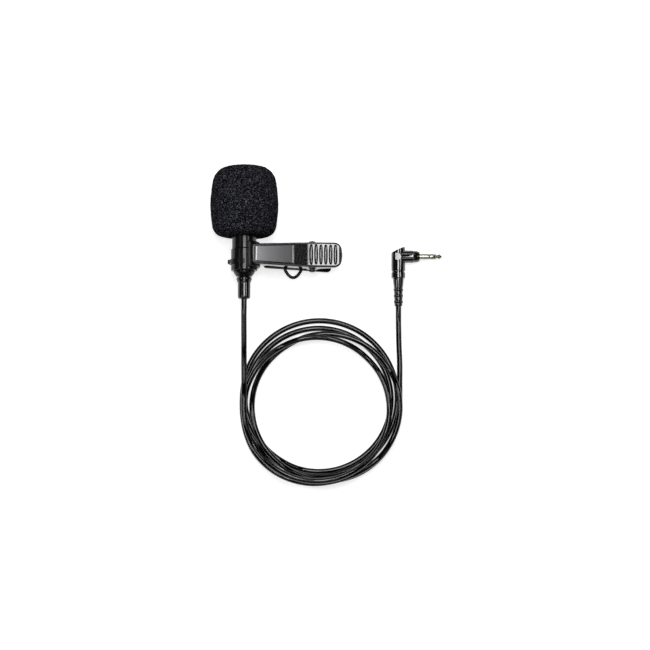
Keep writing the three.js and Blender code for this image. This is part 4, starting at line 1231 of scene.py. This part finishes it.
@dataclass
class TieClip(Assembly):
    """The holder ring, the ribbed upper lever, the bare plate, the pin and the spring."""

    body: ClassVar[Body] = Body.CLIP
    top: float = 6.9
    roof: float = 1.4
    skirt: float = 1.2
    reach: float = 42.9
    front_half: float = 4.5
    middle_half: float = 5.35
    rear_half: float = 5.6
    end_corner: float = 3.4
    end_lift: float = 1.1
    end_thickness: float = 2.2
    plate_start: float = 3.75
    plate_end: float = 21.4
    plate_margin: float = 1.15
    plate_recess: float = 0.6
    plate_proud: float = 0.15
    rib_count: int = 6
    rib_first: float = 29.1
    rib_pitch: float = 2.15
    rib_depth: float = 0.75
    rib_groove: float = 1.74
    rib_margin: float = 1.1
    rim: float = 0.85
    rim_steps: int = 6
    bevel_width: float = 0.95
    bevel_drop: float = 0.165
    pin: float = 30.6
    pin_radius: float = 1.1
    ear_radius: float = 2.6
    ring_outer: float = 7.2
    pin_head: float = 1.2
    clearance: float = 0.3
    tooth_start: float = 9.0
    tooth_pitch: float = 1.7
    tooth_count: int = 8
    grip: float = 0.5
    tooth_depth: float = 0.7
    spring_radius: float = 2.1
    spring_turns: int = 3
    spring_pitch: float = 1.15
    spring_reach: float = 7.4
    spring_wire: float = 0.8
    spring_foot: float = -4.91

    @property
    def front_at(self) -> float:
        """Return where the flat top meets the ring's space."""
        return math.sqrt((self.ring_outer + self.clearance) ** 2 - self.top**2) + 0.05

    @property
    def pin_place(self) -> Matrix:
        """Return the clip's frame moved to the hinge pin."""
        return shifted(self.places.clip, self.pin, 0, 0)

    @property
    def flare(self) -> float:
        """Return how much the lever's half width grows per millimetre along the plate."""
        return (self.middle_half - self.front_half) / (self.plate_end - self.plate_start)

    def _plan(self, inset: float, start: float, end: float) -> Profile:
        """Return the lever's plan outline.

        Args:
            inset: how far it is drawn in.
            start: where it begins along the lever.
            end: where the undrawn outline ends.

        Returns:
            The outline, from one long edge round the end to the other.
        """
        front = self.front_half + (start - self.plate_start) * self.flare - inset
        middle, rear = self.middle_half - inset, self.rear_half - inset
        last, corner = end - inset, max(self.end_corner - inset, 0.5)
        half = [(start, -front), (self.plate_end, -middle), (self.pin, -rear), (last - corner, -rear)]
        half += curve_points(half[-1], (last - 0.2, -rear + 0.2), (last, -rear + corner + 0.6), 10)
        half += curve_points(half[-1], (last + 0.2, -0.6), (last + 0.2, 0.0), 3)
        return half + [(x, -y) for x, y in reversed(half[:-1])]

    def _side(self) -> Profile:
        """Return the side view of the lever below its rim, open upwards."""
        high, past = self.top + self.end_lift, self.reach + 1
        under = high - self.end_thickness
        line = [
            (self.front_at, high + 1), (past, high + 1), (past, under), (past - 3, under - 0.5),
            (self.pin + self.ear_radius + 1.4, self.ear_radius - 0.3),
        ]
        for angle in (math.radians(20 - 200 * index / 24) for index in range(25)):
            across, up = self.ear_radius * math.cos(angle), self.ear_radius * math.sin(angle)
            line.append((self.pin + across, up))
        grip, tip = self.grip, self.grip + self.tooth_depth
        line.append((self.pin - self.ear_radius, grip + self.tooth_depth / 2))
        line.append((self.tooth_start + self.tooth_count * self.tooth_pitch, line[-1][1]))
        for index in reversed(range(self.tooth_count)):
            x = self.tooth_start + index * self.tooth_pitch
            line += [(x + self.tooth_pitch * 0.85, grip), (x, tip)]
        return [*line, (self.front_at, tip + 2.4)]

    def _top_at(self, x: float) -> float:
        """Return the height of the thumb pad's curved top.

        Args:
            x: the place along the lever.

        Returns:
            The height, rising from the flat top to the lifted end.
        """
        start, end = self.rib_first - self.rib_pitch, self.reach - 1.4
        along = (min(max(x, start), end) - start) / (end - start)
        bend = self.rib_pitch / (end - start)
        t = (math.sqrt(bend * bend + (1 - 2 * bend) * along) - bend) / (1 - 2 * bend)
        return self.top + t * t * self.end_lift

    def _plate_outline(self, inset: float) -> Profile:
        """Return the plate's outline.

        Args:
            inset: how far it is drawn in.

        Returns:
            Its four corners.
        """
        front = self.front_half - self.plate_margin - inset
        rear = front + (self.plate_end - self.plate_start) * self.flare
        low, high = self.plate_start + inset, self.plate_end - inset
        return [(low, -front), (high, -rear), (high, rear), (low, front)]

    def _groove(self, index: int) -> Thing:
        """Make the tool for one rounded groove of the thumb pad.

        Args:
            index: the groove's number, from the pin to the end.

        Returns:
            The tool.
        """
        x = self.rib_first + index * self.rib_pitch
        half, wide = self.rear_half - self.rib_margin, self.rib_groove / 2
        angles = (math.pi * (k / 20 - 0.5) for k in range(1, 20))
        line = [(wide * math.cos(t) ** 0.5, half * math.sin(t)) for t in angles]
        squash = Matrix.Diagonal((1.0, 1.0, 2 * self.rib_depth / self.rib_groove, 1.0))
        place = shifted(self.places.clip, x, 0, self._top_at(x)) @ squash
        line = [(0.0, -half), *line, (0.0, half)]
        return revolved(f"groove_tool_{index}", line, Axis.Y, place, 32)

    def _envelope(self) -> Thing:
        """Make the lever's outside: its plan under the curved top, with a rounded rim."""
        start, pitch = self.front_at - 0.5, 0.9
        base = self._plan(0.0, start, self.reach)
        counts = [max(1, round(math.dist(a, b) / pitch)) for a, b in zip(base, base[1:])]
        points: list[Point3] = []
        levels = [(0.0, self.top + self.ear_radius + 1.0)]
        for step in range(self.rim_steps + 1):
            angle = math.pi / 2 * step / self.rim_steps
            levels.append((self.rim * (1 - math.cos(angle)), self.rim * (1 - math.sin(angle))))
        for inset, drop in levels:
            ring = self._plan(inset, start, self.reach)
            fine = [ring[0]]
            for a, b, count in zip(ring, ring[1:], counts):
                for share in (k / count for k in range(1, count + 1)):
                    fine.append((a[0] + (b[0] - a[0]) * share, a[1] + (b[1] - a[1]) * share))
            points += [(x, y, self._top_at(x) - drop) for x, y in fine]
        around, last = sum(counts) + 1, len(levels) - 1
        faces: list[list[int]] = []
        for low in range(0, last * around, around):
            for index in range(around):
                here, after = low + index, low + (index + 1) % around
                faces.append([here, after, after + around, here + around])
        for first in (0, last * around):
            for index in range(around // 2):
                far = around - 1 - index
                corners = (index, index + 1, far - 1, far)
                faces.append(list(dict.fromkeys(first + k for k in corners)))
        return mesh_object("envelope_tool", points, faces, self.places.clip)

    def _lever(self) -> Thing:
        """Make the upper jaw and thumb lever as one hollow moulding."""
        place, wide = self.places.clip, self.rear_half + 1
        lever = drawn("upper_lever", self._side(), -wide, wide, Axis.Y, place)
        carved(lever, self._envelope(), Cut.KEEP_COMMON)
        inside = self._plan(self.skirt, self.front_at - 2, self.reach - 1)
        recess = self._plate_outline(0.0)
        for name, outline, low, high in (
            ("hollow_tool", inside, -self.ear_radius - 2, self.top - self.roof),
            ("recess_tool", recess, self.top - self.plate_recess, self.top + 1),
        ):
            carved(lever, drawn(name, outline, low, high, Axis.Z, place))
        space, far = band(0.0, self.ring_outer + self.clearance, -9.0, 9.0), wide + 1
        carved(lever, revolved("ring_tool", space, Axis.Y, place))
        hole = band(0.0, self.pin_radius + self.clearance / 2, -far, far)
        carved(lever, revolved("pin_tool", hole, Axis.Y, self.pin_place, 40))
        edged(cleaned(lever, 0.5), 0.2, 34.0)
        for index in range(self.rib_count):
            carved(lever, self._groove(index))
        return edged(lever)

    def _plate(self) -> Thing:
        """Make the bare plate with a broad shallow bevel at each end."""
        low = self.top - self.plate_recess + self.clearance
        high, gap, wide = self.top + self.plate_proud, self.clearance / 2, self.middle_half
        start, end = self.plate_start + gap, self.plate_end - gap
        fall = [
            (self.bevel_width * share, self.bevel_drop * drop)
            for share, drop in ((0.0, 1.0), (0.32, 0.55), (0.63, 0.21), (1.0, 0.0))
        ]
        side = [(start, low), (end, low), *((end - run, high - drop) for run, drop in fall)]
        side += [(start + run, high - drop) for run, drop in reversed(fall)]
        plate = drawn("bare_plate", side, -wide, wide, Axis.Y, self.places.clip)
        outline = self._plate_outline(gap)
        tool = drawn("outline_tool", outline, low - 1, high + 1, Axis.Z, self.places.clip)
        return edged(carved(plate, tool, Cut.KEEP_COMMON), 0.12)

    def _pin(self) -> Thing:
        """Make the hinge pin with a domed head at each end."""
        face = self.rear_half + self.clearance
        head = [(self.pin_radius, face), (1.7, face), (1.7, face + 0.35)]
        head += curve_points(head[-1], (1.6, face + self.pin_head), (0.0, face + self.pin_head), 8)
        line = [(radius, -along) for radius, along in reversed(head)] + head
        return turned("pin_rod", line, Axis.Y, self.pin_place, 0.1, steps=48)

    def _spring(self) -> Thing:
        """Make the torsion spring with its two legs."""
        radius, reach, curl = self.spring_radius, self.spring_reach, 16
        first = -self.spring_turns * self.spring_pitch / 2
        under = self.top - self.roof - self.clearance - self.spring_wire / 2 - 0.15
        points = [Vector((reach, first, under))]
        for share in (index / curl for index in range(round((self.spring_turns + 0.5) * curl) + 1)):
            angle, along = math.pi / 2 + share * TURN, first + share * self.spring_pitch
            points.append(Vector((radius * math.cos(angle), along, radius * math.sin(angle))))
        points.append(Vector((reach, points[-1].y, self.spring_foot)))
        place = MILLIMETRES @ self.pin_place
        path = [place @ point for point in Cable.smooth(points, 0.35)]
        return tube("spring_wire", path, self.spring_wire / 2, 10, STEEL)

    def build(self) -> None:
        """Make and dress every piece of the clip."""
        ring = edged(copied("holder_ring", "ring_band"), 0.16, segments=2)
        self.settle(ring, MOULDED, "holder_ring")
        self.settle(self._lever(), GLOSS, "upper_jaw")
        self.settle(self._plate(), PLATE, "face_plate")
        self.settle(self._pin(), GLOSS, "hinge_pin")
        self.settle(self._spring(), STEEL, "jaw_spring")


@dataclass
class LowerJaw(Assembly):
    """The lower jaw with its lever, the soft pad and the cable's eye."""

    body: ClassVar[Body] = Body.LOWER_JAW
    half_width: float = 5.3
    eye_thickness: float = 1.4
    eye_width: float = 8.8
    eye_reach: float = 4.2
    eye_at: float = 22.4
    eye_socket: float = 1.4
    eye_height: float = -2.9
    wall_from: float = 4.2
    wall_blend: float = 0.4
    wall_swell: float = 0.4

    def _jaw(self) -> Thing:
        """Make the jaw, its side walls swollen to just past the lever's."""
        jaw = copied("lower_jaw", "lower_lever")
        middle = self.places.clip.translation.y
        for vertex in jaw.data.vertices:
            aside = vertex.co.y / MM - middle
            share = min(max((abs(aside) - self.wall_from) / self.wall_blend, 0.0), 1.0)
            vertex.co.y += math.copysign(self.wall_swell * share, aside) * MM
        return edged(jaw, 0.16, segments=2)

    def _eye(self) -> Thing:
        """Make the bow that holds the cable."""
        half = (self.eye_width - self.eye_thickness) / 2
        reach, side = self.eye_reach - self.eye_thickness / 2, -self.half_width
        bow = [
            (half * across, side - 0.4 - reach * (1 - across**2))
            for across in (index / 4 - 1 for index in range(1, 8))
        ]
        left, right = ([(x, side + self.eye_socket), (x, side - 0.2)] for x in (-half, half))
        points = [Vector((x, y, 0)) for x, y in (*left, *bow, *reversed(right))]
        place = MILLIMETRES @ shifted(self.places.clip, self.eye_at, 0, self.eye_height)
        path = [place @ point for point in Cable.smooth(points, 0.3)]
        return tube("eye_bow", path, self.eye_thickness / 2, 20, MOULDED)

    def build(self) -> None:
        """Make and dress every piece of the lower jaw."""
        self.settle(self._jaw(), MATT, "lower_jaw")
        pad = edged(copied("grip_pad", "grip_rubber"), 0.08, segments=2)
        self.settle(pad, RUBBER, "grip_pad")
        self.settle(self._eye(), MOULDED, "cable_eye")


# ---- plug


@dataclass
class Plug(Assembly):
    """The right-angle plug: housing, bend relief and the jack's contacts."""

    radius: float = 3.1
    below: float = 9.7
    apex: float = 4.3
    rise: float = 2.75
    groove: float = 0.32
    arm_radius: float = 2.8
    arm_reach: float = 8.1
    nose_reach: float = 9.5
    nose_radius: float = 2.1
    jack_radius: float = 1.25
    jack_reach: float = 10.0
    jack_tip: float = 3.1
    contact_bore: float = 0.62
    washer: float = 0.38
    washer_pitch: float = 0.5
    ring_length: float = 1.7
    relief_length: float = 12.3
    relief_head: float = 4.2
    relief_bore: float = 1.55
    relief_neck: float = 1.95
    ribs: int = 3

    def _housing(self) -> Thing:
        """Make the elbow: upright, slanted end, arm and sockets."""
        place = self.places.plug
        low, high, wall, inner = -self.below, self.apex, self.radius, self.radius - self.groove
        line = [
            (0.0, low), (wall, low), (wall, low + 2.35), (inner, low + 2.5),
            (inner, low + 3.2), (wall, low + 3.35), (wall, high), (0.0, high),
        ]
        body = revolved("plug_elbow", line, Axis.Y, place, 72)
        arm, reach = self.arm_radius, self.arm_reach
        line = [
            (0.0, 0.0), (arm, 0.0), (arm, reach - 1.5), (arm - 0.2, reach - 1.35),
            (arm - 0.2, reach), (self.nose_radius, self.nose_reach), (0.0, self.nose_reach),
        ]
        carved(body, revolved("arm_tool", line, Axis.X, place, 72), Cut.JOIN)
        edge, right = wall + 0.1, wall + 0.9
        slant = [
            (-edge - 1, high - self.rise - 0.3), (-edge, high - self.rise), (wall - 0.35, high),
            (right, arm + 0.1), (right, high + 3), (-edge - 1, high + 3),
        ]
        carved(body, drawn("slant_tool", slant, -wall - 1, wall + 1, Axis.Z, place))
        seat, rear = shifted(place, -0.4, -0.2, wall - 0.35), self.nose_reach - 5
        for name, hole, axis, at in (
            ("disc_tool", band(0.0, 1.6, 0.0, 2.0), Axis.Z, seat),
            ("cable_tool", band(0.0, self.relief_bore + 0.8, low - 1, low + 2.3), Axis.Y, place),
            ("jack_tool", band(0.0, self.jack_radius + 0.3, rear, rear + 6), Axis.X, place),
        ):
            carved(body, revolved(name, hole, axis, at, 48))
        return edged(cleaned(body, 0.5), 0.14)

    def _relief(self) -> Thing:
        """Make the bend relief with its tapered head and ribbed tail."""
        top = -self.below - 0.3
        neck, end = top - self.relief_head, top - self.relief_length
        bore, tail, stub = self.relief_bore, self.relief_bore + 0.2, self.relief_bore + 0.5
        line = [(bore, end), (bore, top + 2.3), (stub, top + 2.3), (stub, top)]
        line += [(2.4, top), (2.3, top - 1.6)]
        for index in range(self.ribs):
            for share, height in ((0.08, 0.0), (0.2, 0.3), (0.42, 0.3), (0.56, 0.0)):
                y = neck - (index + share) * ((neck - end) / self.ribs)
                core = tail + (self.relief_neck - tail) * (y - end) / (neck - end)
                line.append((core + height, y))
        line += [(tail, end + 0.3), (bore + 0.1, end)]
        return turned("relief_rubber", line, Axis.Y, self.places.plug, 0.3, 4, 64)

    def _contacts(self) -> list[tuple[str, str, Finish, Profile]]:
        """Return the jack's parts: name, node, finish and profile of each."""
        r, bore = self.jack_radius, self.contact_bore
        rear, end = self.nose_reach - 4.7, self.nose_reach + self.jack_reach
        tip = end - self.jack_tip
        second = tip - self.washer_pitch
        first = second - self.ring_length - self.washer_pitch
        ring = first + self.washer_pitch
        nose = [
            (0.0, rear), (0.5, rear), (0.5, tip), (r, tip), (r, tip + 0.32), (0.72, tip + 0.88),
            (0.74, tip + 1.15), (r - 0.08, tip + 1.75), (r - 0.1, tip + 2.05), (0.58, end - 0.22),
            (0.34, end), (0.0, end),
        ]
        washers = [band(bore, r - 0.12, at, at + self.washer) for at in (first, second)]
        return [
            ("jack_shaft", "jack_sleeve", GOLD, band(0.8, r, rear, first - 0.1)),
            ("jack_band", "jack_ring", GOLD, band(bore, r, ring, ring + self.ring_length - 0.1)),
            ("jack_nose", "jack_tip", GOLD, nose),
            ("jack_washer_rear", "jack_insulator_rear", INSULATOR, washers[0]),
            ("jack_washer_front", "jack_insulator_front", INSULATOR, washers[1]),
        ]

    def build(self) -> list[Thing]:
        """Make and dress every piece of the plug, and return them."""
        made = [
            self.settle(self._housing(), GLOSS, "plug_housing"),
            self.settle(self._relief(), RUBBER, "plug_boot"),
        ]
        for name, node, finish, line in self._contacts():
            piece = turned(name, line, Axis.X, self.places.plug, 0.1, steps=64)
            made.append(self.settle(piece, finish, node))
        return made


# ---- studio


@dataclass(frozen=True)
class Lamp:
    """A soft box: its place from the target, its width and length, all in metres.

    Its radiance is how bright its face looks, 1 being white.
    """

    name: str
    place: Point3
    size: Point2
    radiance: float

    def hang(self, target: Point3) -> None:
        """Hang the lamp, facing the floor at the target.

        Args:
            target: the point that the studio is set up round.
        """
        here = Vector((target[0], target[1], 0.0))
        away = Vector(self.place)
        data = bpy.data.lights.new(self.name, "AREA")
        data.shape = "RECTANGLE"
        data.size, data.size_y = self.size
        data.energy = self.radiance * math.pi * self.size[0] * self.size[1]
        lamp = bpy.data.objects.new(self.name, data)
        lamp.location = here + away
        away.normalize()
        across = (Vector((1.0, 0.0, 0.0)) - away * away.x).normalized()
        lamp.rotation_euler = Matrix((across, away.cross(across), away)).transposed().to_euler()
        lamp.visible_camera = False
        bpy.context.scene.collection.objects.link(lamp)


@dataclass
class Studio:
    """Floor, world, lamps and the camera at the photograph's angle, in metres and degrees."""

    target: Point3 = (0.02163, -0.0395, 0.0)
    elevation: float = 83.0
    distance: float = 1.3
    field_width: float = 0.2915
    floor_half: float = 3.0
    floor_level: float = -0.0003
    glow_reach: float = 1.6
    lamps: tuple[Lamp, ...] = (
        Lamp("overhead_strip", (-0.045, 0.12, 0.7), (0.09, 0.3), 13.5),
        Lamp("pad_box", (0.122, 0.12, 0.7), (0.07, 0.14), 8.5),
        Lamp("plug_box", (0.067, 0.12, 0.7), (0.035, 0.5), 15.0),
        Lamp("plate_box", (0.46, 0.14, 0.6), (0.1, 0.08), 10.0),
        Lamp("left_strip", (-0.5, -0.03, 0.6), (0.08, 0.2), 14.0),
        Lamp("right_strip", (0.5, -0.03, 0.6), (0.08, 0.2), 3.5),
        Lamp("back_strip", (0.0, 0.6, 0.55), (0.5, 0.12), 3.0),
        Lamp("front_strip", (0.0, -0.42, 0.65), (0.5, 0.12), 2.5),
    )

    def _floor(self) -> None:
        """Make the plain pale floor."""
        size = self.floor_half
        mesh = bpy.data.meshes.new("floor")
        corners = [(-size, -size), (size, -size), (size, size), (-size, size)]
        mesh.from_pydata([(x, y, self.floor_level) for x, y in corners], [], [(0, 1, 2, 3)])
        floor = link("floor", mesh)
        finish = bpy.data.materials.new("floor_paint")
        finish.use_nodes = True
        graph = Graph(finish.node_tree)
        rays = graph.add("ShaderNodeLightPath")
        seen = rays.sibling("Is Camera Ray") + rays.sibling("Is Glossy Ray")
        where = {"Vector": graph.coordinates((MM / self.glow_reach,) * 3)}
        near = graph.add("ShaderNodeTexGradient", {"gradient_type": "SPHERICAL"}, where, "Fac")
        sockets = {
            "Base Color": (0.82, 0.82, 0.82),
            "Roughness": 0.9,
            "Specular IOR Level": 0.0,
            "Emission Color": graph.ramp(near, [(0.0, 1.0), (0.55, 1.0), (0.8, 0.7)]),
            "Emission Strength": (seen + rays.sibling("Is Transmission Ray")).clamped(),
        }
        matt = graph.add("ShaderNodeBsdfPrincipled", {}, sockets)
        graph.add("ShaderNodeOutputMaterial", {}, {"Surface": matt})
        mesh.materials.append(finish)

    def _world(self) -> None:
        """Make the world: white behind the part, pale at the horizon and dark overhead."""
        world = bpy.data.worlds.new("studio")
        world.use_nodes = True
        graph = Graph(world.node_tree)
        direction = graph.add("ShaderNodeTexCoord", output="Generated")
        height = graph.add("ShaderNodeSeparateXYZ", {}, {"Vector": direction}, "Z")
        colour = graph.ramp(height, [(0.0, 0.2), (0.1, 0.12), (0.3, 0.04), (0.9, 0.02)])
        seen = graph.add("ShaderNodeLightPath", output="Is Camera Ray")
        shown = graph.mix(seen, colour, (1.0, 1.0, 1.0))
        back = graph.add("ShaderNodeBackground", {}, {"Color": shown, "Strength": 1.0})
        graph.add("ShaderNodeOutputWorld", {}, {"Surface": back})
        bpy.context.scene.world = world

    def _camera(self) -> None:
        """Set the camera above the layout, leaning towards its front."""
        data = bpy.data.cameras.new("camera")
        data.sensor_width = 36.0
        data.lens = data.sensor_width * self.distance / self.field_width
        camera = bpy.data.objects.new("camera", data)
        rise = math.radians(self.elevation)
        back = Vector((0.0, -math.cos(rise), math.sin(rise)))
        camera.location = Vector(self.target) + back * self.distance
        camera.rotation_euler = back.to_track_quat("Z", "Y").to_euler()
        data.clip_start, data.clip_end = 0.01, 20.0
        bpy.context.scene.collection.objects.link(camera)
        bpy.context.scene.camera = camera

    def build(self) -> None:
        """Make the whole studio."""
        self._floor()
        self._world()
        self._camera()
        for lamp in self.lamps:
            lamp.hang(self.target)
        bpy.context.scene.view_settings.view_transform = "Standard"


def main() -> None:
    """Build the sub-assemblies in order."""
    logging.basicConfig(level=logging.INFO, format="%(name)s: %(message)s")
    places = Places()
    Studio().build()
    Cable(places).build(Plug(places).build())
    for assembly in (MicrophoneBody, TieClip, LowerJaw, Windscreen):
        assembly(places).build()


if __name__ == "__main__":
    main()
